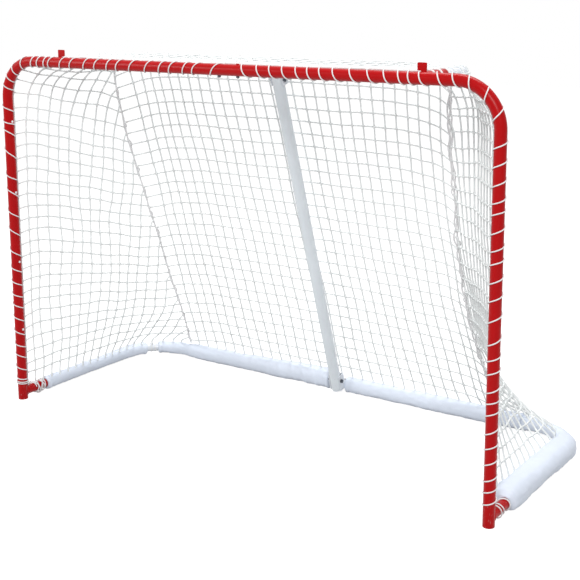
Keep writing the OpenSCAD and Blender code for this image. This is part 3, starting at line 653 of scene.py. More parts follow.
# Upright strands of the back net, counted from the left seam, with their distance along its
# head and their place on its foot. The strands between them are spaced evenly.
BACK_GAPS = 31
HEAD_PLACES = ((0, 4, 17, 27, 31), (0.074, 0.226, 0.798, 1.241, 1.398))
FOOT_PLACES = ((0, 17, 29, 31), (-0.730, 0.045, 0.568, 0.622))


def bow(share):
    """1 halfway down a drawn in strand and 0 at its ends."""
    return np.sin(math.pi * np.clip(share, 0, 1)) ** 0.8


def seam_line(side, share):
    """Points of a seam, from its foot at 0 to its head at 1, a little uneven."""
    share = np.asarray(share, float)
    head, foot, drawn = (np.array(ends[side]) for ends in (SEAM_HEAD, SEAM_FOOT, SEAM_DRAWN))
    spot = foot + (head - foot) * share[..., None] + drawn * bow(share)[..., None]
    fade = np.clip(np.minimum(share, 1 - share) * 12, 0, 1)
    sway = Ripple(11 + side, 0.7, 0.12)(share * 1.2, 0 * share)
    spot[..., 0] += SEAM_WANDER * fade * sway
    if side == LEFT:
        stray = np.interp(share, *SEAM_STRAY)
        spot[..., 0] += 0.5 * stray
        spot[..., 1] -= 0.5 * stray
    spot[..., 0] *= side
    return spot


def head_tube(run):
    """The shelf tube's axis and its outer side at a distance along the back net's head: from
    the left arm round the corner, along the rear bar and round to the right arm."""
    bend = SHELF_BEND + SHELF_R + NET_LIFT
    arm = SHELF_Y - SHELF_BEND - HEAD_START
    quarter, bar = math.pi / 2 * bend, 2 * (SHELF_X - SHELF_BEND)
    angle = (np.clip((run - arm) / bend, 0, math.pi / 2)
             + np.clip((run - arm - quarter - bar) / bend, 0, math.pi / 2))
    x = np.clip(run - arm - quarter, 0, bar) - bar / 2 - SHELF_BEND * np.cos(angle)
    y = SHELF_Y - SHELF_BEND + SHELF_BEND * np.sin(angle) + min(run - arm, 0.0)
    return np.array([x, y, BAR_Z]), np.array([-np.cos(angle), np.sin(angle), 0.0])


class BackStrand:
    """An upright line of the back net: over the shelf tube, then down to the rear sleeve."""

    def __init__(self, count):
        self.axis, self.out = head_tube(float(np.interp(count, *HEAD_PLACES)))
        self.foot = np.array([np.interp(count, *FOOT_PLACES), BASE_Y, SLEEVE_TOP])
        flat = (self.foot - self.axis) @ self.out
        drop = self.foot[2] - BAR_Z
        self.lean = math.atan2(drop, flat) + math.acos(NET_WRAP / math.hypot(flat, drop))
        self.start = self.over(self.lean)
        self.long = float(np.linalg.norm(self.foot - self.start))
        share = max(self.start[0], 0.0) / SEAM_HEAD[RIGHT][0]
        self.drawn = np.array(SEAM_DRAWN[RIGHT]) * share

    def over(self, angle):
        """A point on the bend over the tube, the angle measured up from its outer side."""
        return (self.axis + self.out * NET_WRAP * math.cos(angle)
                + np.array([0.0, 0.0, NET_WRAP * math.sin(angle)]))

    def down(self, run):
        share = run / self.long
        return self.start + (self.foot - self.start) * share + self.drawn * bow(share)


# ---- nets ---------------------------------------------------------------------------------


def net(name, node, strands):
    """A net of strands, which are pairs of crossings and how much each one swells."""
    radius = sizes().strand_r
    paths = [smooth_path(knots, swell, radius) for knots, swell in strands if len(knots) > 1]
    return cords(name, paths, "net_twine", 6, (node,))


# The back net's rows, and the first one's place in meshes below the shelf tube.
BACK_ROWS = range(29)
FIRST_ROW = 0.55
# How much further apart its upper rows hang, all together, and the rows in which that ends.
HEAD_GIVE = 0.016
GIVE_ROWS = 7
# Strands in which the gathering at a seam dies away, and in which the belly reaches its depth,
# then that depth, and how far the net waves in and out.
GATHERED = 3
BELLY_STRANDS = 4
BELLY = 0.006
BACK_SAG = 0.0014
# Least distance of a crossing from the foot, at a seam and between them, and where a strand
# ends inside the sleeve.
SEAM_ROOM = 0.012
FOOT_ROOM = 0.008
TUCK = np.array([0, 0.004, -0.016])


def droop(count):
    """How far the back net's rows hang down at an upright strand."""
    s = sizes()
    left = count * s.mesh_pitch
    right = (BACK_GAPS - count) * s.mesh_pitch
    return s.seam_droop * (math.exp(-left / s.droop_reach) + math.exp(-right / s.droop_reach))


def back_crossings():
    """Where the strands of the back net cross, by upright strand and row."""
    s = sizes()
    stray_x, stray_s, sag = Ripple(21, 0.5, 0.07), Ripple(22, 0.6, 0.08), Ripple(23, 0.9, 0.25)
    crossings = {}
    for i in range(BACK_GAPS + 1):
        strand = BackStrand(i)
        inwards = min(i, BACK_GAPS - i)
        near = math.exp(-inwards / GATHERED)
        edge = min(1.0, inwards / BELLY_STRANDS)
        for k in BACK_ROWS:
            give = HEAD_GIVE * (1 - math.exp(-k / GIVE_ROWS))
            run = (k + FIRST_ROW) * s.mesh_pitch + give + droop(i)
            if inwards == 0:
                if run < strand.long - SEAM_ROOM:
                    side = LEFT if i == 0 else RIGHT
                    crossings[i, k] = seam_line(side, 1 - run / strand.long)
                continue
            x = strand.foot[0]
            run += s.slackness * (0.35 + 0.7 * near) * float(stray_s(x, run))
            if run > strand.long - FOOT_ROOM:
                continue
            loose = s.slackness / s.mesh_pitch * (0.35 + 0.5 * near)
            spot = BackStrand(i + loose * float(stray_x(x, run))).down(run)
            spot[1] -= (BELLY * math.sin(math.pi * run / strand.long) * edge
                        + BACK_SAG * float(sag(x, run)))
            crossings[i, k] = spot
    return crossings


def back_net():
    """The upright strands run from the rear shelf bar down to the sleeves. The level ones
    droop towards both seams, where the net is gathered."""
    knot_swell = sizes().knot_swell
    crossings = back_crossings()
    strands = []
    for k in BACK_ROWS:
        knots = [crossings[i, k] for i in range(BACK_GAPS + 1) if (i, k) in crossings]
        if len(knots) > 2:
            strands.append((knots, [knot_swell] * len(knots)))
    for i in range(1, BACK_GAPS):
        strand = BackStrand(i)
        top = [strand.over(angle) for angle in np.linspace(math.pi / 2, strand.lean, 4)]
        knots = [crossings[i, k] for k in BACK_ROWS if (i, k) in crossings]
        strands.append((top + knots + [strand.foot, strand.foot + TUCK],
                        [1.0] * len(top) + [knot_swell] * len(knots) + [1.0, 1.0]))
    return net("mesh_back", "back_net", strands)


def arm_spot(y, angle):
    """A point of a strand over the right shelf arm, the angle measured up from its outside."""
    turn = max(y - (SHELF_Y - SHELF_BEND), 0) / SHELF_BEND
    reach = SHELF_BEND + NET_WRAP * math.cos(angle)
    return np.array([SHELF_X - SHELF_BEND + reach * math.cos(turn),
                     min(y, SHELF_Y - SHELF_BEND) + reach * math.sin(turn),
                     BAR_Z + NET_WRAP * math.sin(angle)])


def rear_bar_y(x):
    """Depth of the shelf's rear bar at a distance from the middle."""
    past = np.clip(abs(x) - (SHELF_X - SHELF_BEND), 0, 0.95 * SHELF_BEND)
    return SHELF_Y - SHELF_BEND + math.sqrt(SHELF_BEND ** 2 - past ** 2)


# The shelf net's front edge, gaps from front to rear, what remains of one at the rear, and its
# sag. Its outermost strands keep off the arms, and its crossings off the rear bar.
SHELF_FRONT = 0.0260
SHELF_ROWS = 7
SHELF_REST = 0.4
SHELF_SAG = 0.006
ARM_ROOM = 0.022
BAR_ROOM = 0.012


def shelf_net():
    """The net over the shelf: the back net's upright strands carry on to the crossbar, and
    level ones run over both arms."""
    s = sizes()
    stray_x, stray_y, sag = Ripple(31, 0.4, 0.07), Ripple(32, 0.5, 0.08), Ripple(33, 0.5, 0.15)
    columns = [float(BackStrand(i).axis[0]) for i in range(BACK_GAPS + 1)]
    columns = [x for x in columns if abs(x) < SHELF_X - ARM_ROOM]
    if columns[-1] + s.mesh_pitch < SHELF_X - ARM_ROOM:
        columns.append(columns[-1] + s.mesh_pitch)
    depth = SHELF_Y - SHELF_FRONT
    rows = [SHELF_FRONT + depth * k / (SHELF_ROWS + SHELF_REST) for k in range(SHELF_ROWS + 1)]

    def spot(x, y):
        edge = min(1.0, (SHELF_X - abs(x)) / 0.25) * math.sin(math.pi * min(1.0, y / depth))
        return np.array([x + 0.6 * s.slackness * float(stray_x(x, y)),
                         y + 0.7 * s.slackness * float(stray_y(x, y)),
                         BAR_Z + NET_WRAP + 0.0008 * float(sag(x, y))
                         - SHELF_SAG * max(edge, 0)])

    strands = []
    for x in columns:
        end = rear_bar_y(x)
        knots = [spot(x, y) for y in rows if y < end - BAR_ROOM]
        knots[0][1] = SHELF_FRONT
        strands.append((knots + [np.array([x, end, BAR_Z + NET_WRAP])],
                        [s.knot_swell] * len(knots) + [1.0]))
    for y in rows:
        knots = [spot(x, y) for x in columns if rear_bar_y(x) > y + 0.006]
        over = [arm_spot(y, math.radians(angle)) for angle in (90, 60, 30, 0)]
        mirrored = [place * np.array([-1, 1, 1]) for place in over[::-1]]
        strands.append((mirrored + knots + over,
                        [1.0] * 4 + [s.knot_swell] * len(knots) + [1.0] * 4))
    return net("mesh_shelf", "shelf_net", strands)


class SidePanel:
    """The surface of a side net: straight from the mouth frame to the seam, and widening near
    its foot and its head to follow the sleeve and the shelf arm. It is drawn for the right."""

    # Powers with which the pull of the foot and of the head dies away.
    foot_pull = 8
    head_pull = 3
    # Depth of the front edge, and distance of the head's strand from the middle.
    edge_y = 0.0258
    edge_x = SHELF_X + SHELF_R + 0.0065
    # How far the foot lies in from the post, its corner's radius, and its heights at the
    # front and at the seam.
    inset = {LEFT: 0.014, RIGHT: 0.042}
    corner = {LEFT: 0.165, RIGHT: 0.160}
    foot_z = {LEFT: (0.0535, 0.0585), RIGHT: (0.0625, 0.0585)}
    # Length in which the foot leaves the post, and how far the edges lie inside the frame.
    foot_start = 0.07
    edge_room = 0.002

    def __init__(self, side):
        self.side = side

    def front(self, v):
        """The front edge: up the post, round the corner and along the crossbar."""
        low = self.foot_z[self.side][0]
        rise = BAR_Z - FRAME_BEND - low
        bend = math.pi / 2 * FRAME_BEND
        s = v * (rise + bend + POST_X - FRAME_BEND - self.edge_x)
        a = np.clip((s - rise) / FRAME_BEND, 0, math.pi / 2)
        x = POST_X - FRAME_BEND * (1 - np.cos(a)) - np.maximum(s - rise - bend, 0)
        z = low + np.minimum(s, rise) + (FRAME_BEND - self.edge_room) * np.sin(a)
        return np.stack([x, self.edge_y + 0 * x, z], -1)

    def foot(self, u):
        """The foot: along the sleeve, and round the corner to the seam."""
        inset, r = self.inset[self.side], self.corner[self.side]
        x0, end = POST_X - inset, SEAM_FOOT[self.side]
        back = end[1] - r - self.edge_y
        s = u * (back + math.pi / 2 * r + x0 - r - end[0])
        a = np.clip((s - back) / r, 0, math.pi / 2)
        start = np.clip(1 - s / self.foot_start, 0, 1)
        x = (x0 + inset * start - r * (1 - np.cos(a))
             - np.maximum(s - back - math.pi / 2 * r, 0))
        y = self.edge_y + np.minimum(s, back) + r * np.sin(a)
        low, high = self.foot_z[self.side]
        return np.stack([x, y, low + (high - low) * u], -1)

    def head(self, u):
        """The head: along the shelf arm, and round its corner to the seam."""
        r = self.edge_x - SHELF_X + SHELF_BEND
        end = SEAM_HEAD[self.side]
        turn = 0.0
        if self.side == RIGHT:
            turn = math.acos(min(1.0, (end[0] - SHELF_X + SHELF_BEND) / r))
        back = min(end[1], SHELF_Y - SHELF_BEND) - self.edge_y
        s = u * (back + r * turn)
        a = np.maximum(s - back, 0) / r
        x = self.edge_x - r * (1 - np.cos(a))
        y = self.edge_y + np.minimum(s, back) + r * np.sin(a)
        return np.stack([x, y, BAR_Z - self.edge_room + 0 * x], -1)

    def spot(self, u, v):
        """Points of the surface, u from front to rear and v from foot to head."""
        u, v = np.broadcast_arrays(np.asarray(u, float), np.asarray(v, float))
        u1, v1 = u[..., None], v[..., None]
        rear = seam_line(self.side, v)
        rear[..., 0] *= self.side
        stray = [edge(u) - (1 - u1) * edge(np.float64(0)) - u1 * edge(np.float64(1))
                 for edge in (self.foot, self.head)]
        made = ((1 - u1) * self.front(v) + u1 * rear
                + (1 - v1) ** self.foot_pull * stray[0] + v1 ** self.head_pull * stray[1])
        made[..., 0] *= self.side
        return made


# A side net's rows, the distance of its upright strands, and the rows that are left out, as
# they would start on the crossbar.
SIDE_ROWS = 30
SIDE_PITCH = 0.0417
CROSSBAR_ROWS = (28, 29)
# How far a side net's rows fall on their way to the seam, at shares of their height.
ROW_FALL = {
    LEFT: ((0.0, 0.37, 0.73, 0.79, 0.86, 0.9, 1.0),
           (0.0, 0.035, 0.0, -0.027, -0.054, -0.060, 0.0)),
    RIGHT: ((0.0, 0.07, 0.2, 0.4, 0.53, 0.60, 0.66, 0.70, 0.77, 0.80, 0.865, 0.90, 1.0),
            (0.0, 0.036, 0.042, -0.018, -0.074, -0.082, -0.093, -0.098, -0.118, -0.100,
             -0.100, -0.085, 0.0)),
}
# How far they rise above that line halfway along, and where on the way up that sets in.
ROW_HUMP = {LEFT: 0.002, RIGHT: 0.010}
HUMP_RATE = 1.6
HUMP_FULL = 0.625
# How far the lacing pulls the rows down at the post, and the share of the way in which that
# dies away.
ROW_DIP = {LEFT: 0.016, RIGHT: 0.0}
DIP_REACH = 0.08
# How much nearer to the post the strands lie at its foot than higher up.
FOOT_CROWD = {LEFT: 0.020, RIGHT: 0.0}
# How much further from the mouth frame they lie round its corner.
CORNER_STRAY = {LEFT: 0.020, RIGHT: 0.0}
# A side net's height along the seam, how far it waves in and out, and the least part of a gap
# between a crossing and the seam.
SIDE_TALL = 1.3
SIDE_SAG = 0.0030
SEAM_REST = 0.30


def side_row(side, k, u):
    """Share of the height at which a level strand runs, u from front to rear."""
    v = (k + 0.1) / (SIDE_ROWS + 0.2)
    along = eased(u, 0.08, 0.92) if side == LEFT else u
    fall = np.interp(v, *ROW_FALL[side])
    hump = ROW_HUMP[side]
    if v < HUMP_FULL:
        hump *= math.sin(math.pi * min(1.0, v * HUMP_RATE))
    edge = min(1.0, (SIDE_ROWS - k) / 2, k / 2)
    dip = ROW_DIP[side] * np.exp(-u / DIP_REACH) * edge * (1 - float(eased(v, 0.74, 0.84)))
    return np.clip(v - fall * along + hump * edge * np.sin(math.pi * u) - dip, 0, 1)


def side_crossings(side):
    """Where the strands of a side net cross, and the share of the seam where each row ends."""
    s = sizes()
    panel = SidePanel(side)
    fine = np.linspace(0, 1, 240)
    stray_u, stray_v, sag = (Ripple(40 + side, 0.45, 0.07), Ripple(43 + side, 0.5, 0.08),
                             Ripple(46 + side, 0.8, 0.2))
    crossings, ends = {}, {}
    for k in range(SIDE_ROWS + 1):
        if k in CROSSBAR_ROWS:
            continue
        shares = side_row(side, k, fine)
        run = length_along(panel.spot(fine, shares))
        height = shares[0] * SIDE_TALL
        ends[k] = float(shares[-1])
        j = 0
        while True:
            crowd = FOOT_CROWD[side] * (1 - shares[0]) * min(1.0, j / 2)
            stray = CORNER_STRAY[side] * float(eased(shares[0], 0.66, 0.86)) * min(1, j)
            far = j * SIDE_PITCH - crowd + stray
            if far > run[-1] - SEAM_REST * SIDE_PITCH:
                break
            edge = min(1.0, j / 2) * min(1.0, (run[-1] - far) / (2 * SIDE_PITCH))
            at = far + s.slackness * edge * float(stray_u(far, height))
            u = float(np.interp(at, run, fine))
            rise = s.slackness * float(stray_v(far, height)) * edge / SIDE_TALL
            rise *= min(1.0, k / 2, (SIDE_ROWS - k) / 2)
            v = float(np.clip(np.interp(u, fine, shares) + rise, 0, 1))
            across = panel.spot(min(u + 0.02, 1), v) - panel.spot(max(u - 0.02, 0), v)
            upward = panel.spot(u, min(v + 0.02, 1)) - panel.spot(u, max(v - 0.02, 0))
            loose = edge * min(1.0, k / 3, (SIDE_ROWS - k) / 3)
            crossings[j, k] = panel.spot(u, v) + unit(
                np.cross(across, upward)) * loose * SIDE_SAG * float(sag(far, height))
            j += 1
    return crossings, ends


# Where an upright strand of a side net meets the seam between two rows, how it swells there,
# and how far its lower end sinks into the sleeve on its way to the tube's axis.
SEAM_SHARE = 0.65
SEAM_SWELL = 1.2
FOOT_SINK = np.array([0.3, 0.3, 0.5])


def side_net(side):
    """Upright strands run beside the post and end on the sloping seam. Level strands run from
    the post back to it."""
    knot_swell = sizes().knot_swell
    crossings, ends = side_crossings(side)
    columns = 1 + max(j for j, k in crossings)
    strands = []
    rows = [k for k in ends if k > 0]
    for k in rows:
        knots = [crossings[j, k] for j in range(columns) if (j, k) in crossings]
        knots.append(seam_line(side, ends[k]) if k < SIDE_ROWS
                     else SidePanel(side).spot(1.0, 1.0))
        strands.append((knots, [knot_swell] * len(knots)))
    for j in range(columns):
        column = [k for k in range(SIDE_ROWS + 1) if (j, k) in crossings]
        knots = [crossings[j, k] for k in column]
        swell = [knot_swell] * len(knots)
        top = column[-1]
        if top < SIDE_ROWS:
            above = next(k for k in rows if k > top)
            share = (1 - SEAM_SHARE) * ends[top] + SEAM_SHARE * ends[above]
            knots.append(seam_line(side, share))
            swell.append(SEAM_SWELL)
        if column[0] == 0:
            foot = knots[0]
            base = np.array([side * min(abs(foot[0]), POST_X), min(foot[1], BASE_Y), BASE_Z])
            knots.insert(0, foot + (base - foot) * FOOT_SINK)
            swell.insert(0, 1.0)
        strands.append((knots, swell))
    return net(f"mesh_{SIDE_NAME[side]}", f"{SIDE_NAME[side]}_side_net", strands)


# For each seam: strands that twist down it, their reach to both sides, and how many small
# loops stand out from it.
SEAM_STRANDS = {LEFT: (2, 0.0016, 13), RIGHT: (3, 0.0060, 16)}
# Length and depth of a twist, the way a seam faces, the points of a loop, and how thick its
# strands and loops are beside the net's strands.
TWIST_LONG = 0.19
TWIST_DEEP = 0.0020
SEAM_FACING = [0.0, -1.0, 0.2]
LOOP_POINTS = 13
SEAM_THICK = 1.05
LOOP_THICK = 0.9


def seam_band(side):
    """The strands that gather a back net to a side net, and the small loops between them."""
    s = sizes()
    count, wide, loops = SEAM_STRANDS[side]
    share = np.linspace(0.0, 0.992, 260)
    spine = seam_line(side, share)
    ahead = unit(np.gradient(spine, axis=0))
    across = unit(np.cross(ahead, SEAM_FACING))
    out = np.cross(ahead, across)
    run = share * SEAM_LONG
    paths = []
    for strand in range(count):
        loose = Ripple(60 + 8 * side + strand, 0.30, 0.05)
        turn = 2 * math.pi * (run / TWIST_LONG + strand / count)
        reach = wide * (0.75 + 0.45 * loose(run, 0 * run))
        path = (spine + across * (reach * np.cos(turn))[:, None]
                + out * (TWIST_DEEP * np.sin(turn))[:, None])
        paths.append((path, s.strand_r * SEAM_THICK))
    uneven = dice(70 + side)
    for number in range(loops):
        at = (number + uneven.uniform(0.2, 0.8)) / loops
        tall = uneven.uniform(0.012, 0.022)
        reach = uneven.uniform(0.006, 0.012) * (1 if side == LEFT else uneven.choice([-1, 1]))
        shares = at + np.linspace(-1, 1, LOOP_POINTS) * tall / SEAM_LONG
        loop = seam_line(side, np.clip(shares, 0.004, 0.985))
        lean = unit(np.cross(unit(np.gradient(loop, axis=0)), SEAM_FACING))
        swing = np.sin(np.linspace(0, math.pi, LOOP_POINTS))
        paths.append((loop + lean * (reach * swing)[:, None], s.strand_r * LOOP_THICK))
    node = f"{SIDE_NAME[side]}_seam_cord"
    return cords(f"seam_{SIDE_NAME[side]}", paths, "lacing_cord", 6, (node,))


# ---- lacing -------------------------------------------------------------------------------

# Where the turns of each cord pass the front of the frame, in millimetres along its axis from
# the middle of the crossbar. They are wound by hand, and so unevenly.
TURNS = {
    "left_crossbar_lacing": (8, 85, 120, 177, 217, 274, 341, 399, 439, 494, 541, 606, 651, 708,
                             728, 761, 788, 841, 889, 928, 963),
    "right_crossbar_lacing": (107, 162, 206, 252, 300, 339, 380, 426, 483, 541, 592, 636, 665,
                              699, 758, 800, 846, 904, 966),
    "left_post_lacing": (1038, 1091, 1117, 1192, 1282, 1331, 1412, 1475, 1554, 1618, 1668,
                         1715, 1753, 1800, 1853, 1903, 1940, 1989, 2033, 2045, 2051),
    "right_post_lacing": (1045, 1095, 1146, 1194, 1222, 1274, 1323, 1357, 1409, 1458, 1515,
                          1581, 1626, 1663, 1717, 1748, 1780, 1835, 1878, 1924, 1973, 2006,
                          2042),
}


def frame_line(run):
    """The axis of the mouth frame, from the middle of the crossbar and down the right post,
    and the direction away from the middle of the mouth."""
    straight = POST_X - FRAME_BEND
    a = np.clip((run - straight) / FRAME_BEND, 0, math.pi / 2)
    bend = math.pi / 2 * FRAME_BEND
    x = np.minimum(run, straight) + FRAME_BEND * np.sin(a)
    z = BAR_Z - FRAME_BEND * (1 - np.cos(a)) - np.maximum(run - straight - bend, 0)
    spot = np.stack([x, 0 * x, z], -1)
    outer = np.stack([np.sin(a), 0 * a, np.cos(a)], -1)
    return spot, outer


# Points in each turn, how far the ends run on past the last turns, and the points over which
# the pitch is evened out.
TURN_STEPS = 24
RUN_ON = 0.45
EVENED = 13


def wound(node, paths):
    """The cords that stand for a lacing node."""
    radius = sizes().lace_r
    return cords(node.replace("lacing", "wound"), [(path, radius) for path in paths],
                 "lacing_cord", 8, (node,))


def lacing(node):
    """A cord wound round the frame, through the places of its turns."""
    side = LEFT if node.startswith("left") else RIGHT
    marks = np.array(TURNS[node]) / 1000
    turns = np.arange(len(marks), dtype=float)
    fine = np.arange(-RUN_ON, turns[-1] + RUN_ON, 1 / TURN_STEPS)
    first, last = marks[1] - marks[0], marks[-1] - marks[-2]
    marks = np.concatenate([[marks[0] - first], marks, [marks[-1] + last]])
    run = np.interp(fine, np.concatenate([[-1], turns, [turns[-1] + 1]]), marks)
    kernel = np.hanning(EVENED) / np.hanning(EVENED).sum()
    half = EVENED // 2
    padded = np.concatenate([2 * run[0] - run[half:0:-1], run,
                             2 * run[-1] - run[-2:-half - 2:-1]])
    spot, outer = frame_line(np.convolve(padded, kernel, "valid"))
    phase = 2 * math.pi * (fine + 0.25)
    off = FRAME_R + sizes().lace_r * 0.92 + 0.0002
    path = spot + off * (np.cos(phase)[:, None] * outer
                         + np.sin(phase)[:, None] * np.array([0.0, -1.0, 0.0]))
    path[:, 0] *= side
    return wound(node, [path])


# Places of the turns round each base stub, in metres behind the post's axis.
STUB_TURNS = {LEFT: (0.050, 0.068, 0.089), RIGHT: (0.040, 0.058, 0.098)}
# The knot on the left stub: its middle and reach behind the post's axis, its turns, how often
# it runs to and fro, and how far its turns lie off the others and stray from that.
KNOT_AT = 0.074
KNOT_REACH = 0.020
KNOT_TURNS = 3.3
KNOT_SWINGS = 1.3
KNOT_LIFT = 0.0034
KNOT_STRAY = 0.0022


def knot_path(off):
    """The cord's knot on the left stub: turns that cross over the others, to and fro."""
    fine = np.linspace(0, 1, 120)
    phase = 2 * math.pi * KNOT_TURNS * fine + 0.4
    run = (KNOT_AT + KNOT_REACH * np.sin(2 * math.pi * KNOT_SWINGS * fine)
           + 0.004 * np.sin(31 * fine))
    out = off + KNOT_LIFT + KNOT_STRAY * np.sin(2 * math.pi * 7.7 * fine)
    return np.stack([-POST_X + out * np.sin(phase), run, BASE_Z + out * np.cos(phase)], 1)


def stub_lacing(side):
    """The turns that tie the net's lower corner to a base stub, with the knot on the left."""
    marks = np.array(STUB_TURNS[side])
    turns = np.arange(len(marks), dtype=float)
    fine = np.linspace(-0.3, turns[-1] + 0.4, 26 * len(marks))
    uneven = Ripple(95 + side, 0.8, 0.2)
    run = np.interp(fine, turns, marks) + 0.0018 * uneven(fine * 0.3, 0 * fine)
    phase = 2 * math.pi * fine + 0.6
    lift = 0.0009 * (1 + uneven(fine * 0.3, 1 + 0 * fine))
    off = BASE_R + sizes().lace_r + 0.0004 + lift
    paths = [np.stack([side * (POST_X + off * np.sin(phase)), run,
                       BASE_Z + off * np.cos(phase)], 1)]
    if side == LEFT:
        paths.append(knot_path(off.mean()))
    return wound(f"{SIDE_NAME[side]}_stub_lacing", paths)


# ---- sleeves ------------------------------------------------------------------------------

# Runs along the base tube, from the stub's end: where the side ends, where the rear starts
# and where its middle lies.
SIDE_RUN = BASE_Y - BASE_BEND - STUB_END
REAR_RUN = SIDE_RUN + math.pi / 2 * BASE_BEND
CENTRE_RUN = REAR_RUN + POST_X - BASE_BEND


def base_line(run):
    """The base tube's line from the end of the right stub: back along the side, round the
    corner and along the rear to the middle, and the direction out of the goal."""
    a = np.clip((run - SIDE_RUN) / BASE_BEND, 0, math.pi / 2)
    x = POST_X - BASE_BEND + BASE_BEND * np.cos(a) - np.maximum(run - REAR_RUN, 0)
    y = STUB_END + np.minimum(run, SIDE_RUN) + BASE_BEND * np.sin(a)
    return np.stack([x, y], -1), np.stack([np.cos(a), np.sin(a)], -1)


# How far a full sleeve's middle is moved where it rests on the floor.
FLOOR_LIFT = 0.0005

# Each form gives a sleeve's width, its height, how far it lies outwards of the tube, and the
# height of its middle.


def tight_form(run):
    """Drawn tight on the tube."""
    d = sizes().tight_d
    return d + 0 * run, d + 0 * run, 0 * run, BASE_Z + 0 * run


def left_rear_form(run):
    """Tight round the corner, then fuller and fuller towards the middle."""
    s = sizes()
    full = eased(run, REAR_RUN - 0.010, REAR_RUN + 0.070)
    swell = s.rear_swell * eased(run, REAR_RUN + 0.10, CENTRE_RUN - 0.05)
    plain = s.tight_d + (s.sleeve_d - s.tight_d) * full
    return plain + 0.4 * swell, plain + swell, 0.1 * swell, BASE_Z + 0.5 * swell


def right_rear_form(run):
    """Full all along."""
    d = sizes().sleeve_d
    return d + 0 * run, d + 0 * run, 0 * run, BASE_Z + FLOOR_LIFT + 0 * run


def right_side_form(run):
    """Wide and flat along the side, lying inwards of the tube, and tight round the corner."""
    s = sizes()
    wide = 1 - eased(run, SIDE_RUN + 0.010, SIDE_RUN + 0.150)
    return (s.tight_d + (s.wide_sleeve_w - s.tight_d) * wide,
            s.tight_d + (s.wide_sleeve_h - s.tight_d) * wide, -0.008 * wide,
            BASE_Z + (s.wide_sleeve_h / 2 - FLOOR_LIFT - BASE_Z) * wide)


# Each sleeve's node, side, run along the base tube, form, seed, pleats, and how far its front
# end is drawn in.
SLEEVES = (
    ("left_side_sleeve", LEFT, (0.001, SIDE_RUN + math.radians(33) * BASE_BEND), tight_form,
     80, 0.0, 0.0),
    ("left_rear_sleeve", LEFT, (SIDE_RUN + math.radians(50) * BASE_BEND, CENTRE_RUN - 0.048),
     left_rear_form, 84, 1.0, 0.0),
    ("right_rear_sleeve", RIGHT, (REAR_RUN + 0.0312, CENTRE_RUN - 0.0240), right_rear_form, 88,
     0.0, 0.0),
    ("right_side_sleeve", RIGHT, (0.001, REAR_RUN + 0.029), right_side_form, 92, 0.0, 0.42),
)
# Points round a sleeve, the distance of its rings, and what a turn round it counts in metres
# of cloth.
SLEEVE_SIDES = 56
RING_STEP = 0.004
CLOTH_TURN = 0.03
# The hem at each end: its width, how far it stands proud, how far its lip is turned in and
# over which width, and the depth and width of its seam.
HEM = 0.014
HEM_PROUD = 0.0010
LIP_SUNK = 0.0016
LIP = 0.004
SEAM_DEEP = 0.0011
SEAM_WIDE = 0.0018
# The padding's waves, the creases of its cloth and those where it is gathered or full.
SOFT_WAVE = 0.0009
FOLD_WAVE = 0.0004
GATHER_WAVE = 0.0010
FULL_WAVE = 0.0008
GATHER_REACH = 0.05
PLEAT_PITCH = 0.052
PLEAT_DEEP = 0.0022
# Height from which a sleeve counts as full, and the height more at which it wholly is.
FULL_FROM = 0.060
FULL_OVER = 0.015
# Length over which a drawn in end opens, and how close a closed end lies round the tube.
ROUNDED_LONG = 0.024
SNUG = BASE_R + 0.0022
LEAST_HEIGHT = 0.0004
# The rings that close an end: how far each has come from the cloth to the tube, and how far
# it sinks in.
END_RINGS = ((0.12, -0.0008), (0.45, -0.0016), (0.85, -0.0012), (1.0, -0.0022), (1.05, 0.0020))


def cloth_relief(run, tall, salt, pleated):
    """How far a sleeve's cloth stands out at each ring and point, without its hems, and the
    hems' own relief at each ring."""
    soft, fold, crease = (Ripple(salt, 0.30, 0.07), Ripple(salt + 1, 0.06, 0.014),
                          Ripple(salt + 2, 0.10, 0.02))
    edge = np.minimum(run - run[0], run[-1] - run)
    lip = np.clip(edge / LIP, 0, 1) ** 0.5
    proud = (np.where(edge < HEM, 1.0, 0.0) * (HEM_PROUD * lip - LIP_SUNK * (1 - lip))
             - SEAM_DEEP * np.exp(-((edge - HEM - 0.001) / SEAM_WIDE) ** 2))
    gather = np.exp(-edge / GATHER_REACH)
    full = np.clip((tall - FULL_FROM) / FULL_OVER, 0, 1)
    phi = np.linspace(0, 2 * math.pi, SLEEVE_SIDES, endpoint=False)
    along, angle = np.meshgrid(run, phi, indexing="ij")
    cloth = angle * CLOTH_TURN
    bulge = SOFT_WAVE * soft(along, cloth) + FOLD_WAVE * fold(along, cloth)
    bulge += (GATHER_WAVE * gather[:, None] + FULL_WAVE * full[:, None]) * crease(
        along * 0.8, angle * 0.02)
    pleat = np.sin(2 * math.pi * along / PLEAT_PITCH + 1.6 * np.sin(angle)
                   + 2.0 * soft(along * 0.5, 0 * angle))
    inside = np.clip(0.4 - np.cos(angle), 0, 1)
    bulge += (full * pleated)[:, None] * PLEAT_DEEP * np.maximum(pleat, 0) ** 2 * inside
    return bulge * np.clip(edge / 0.006, 0.15, 1)[:, None], proud, phi


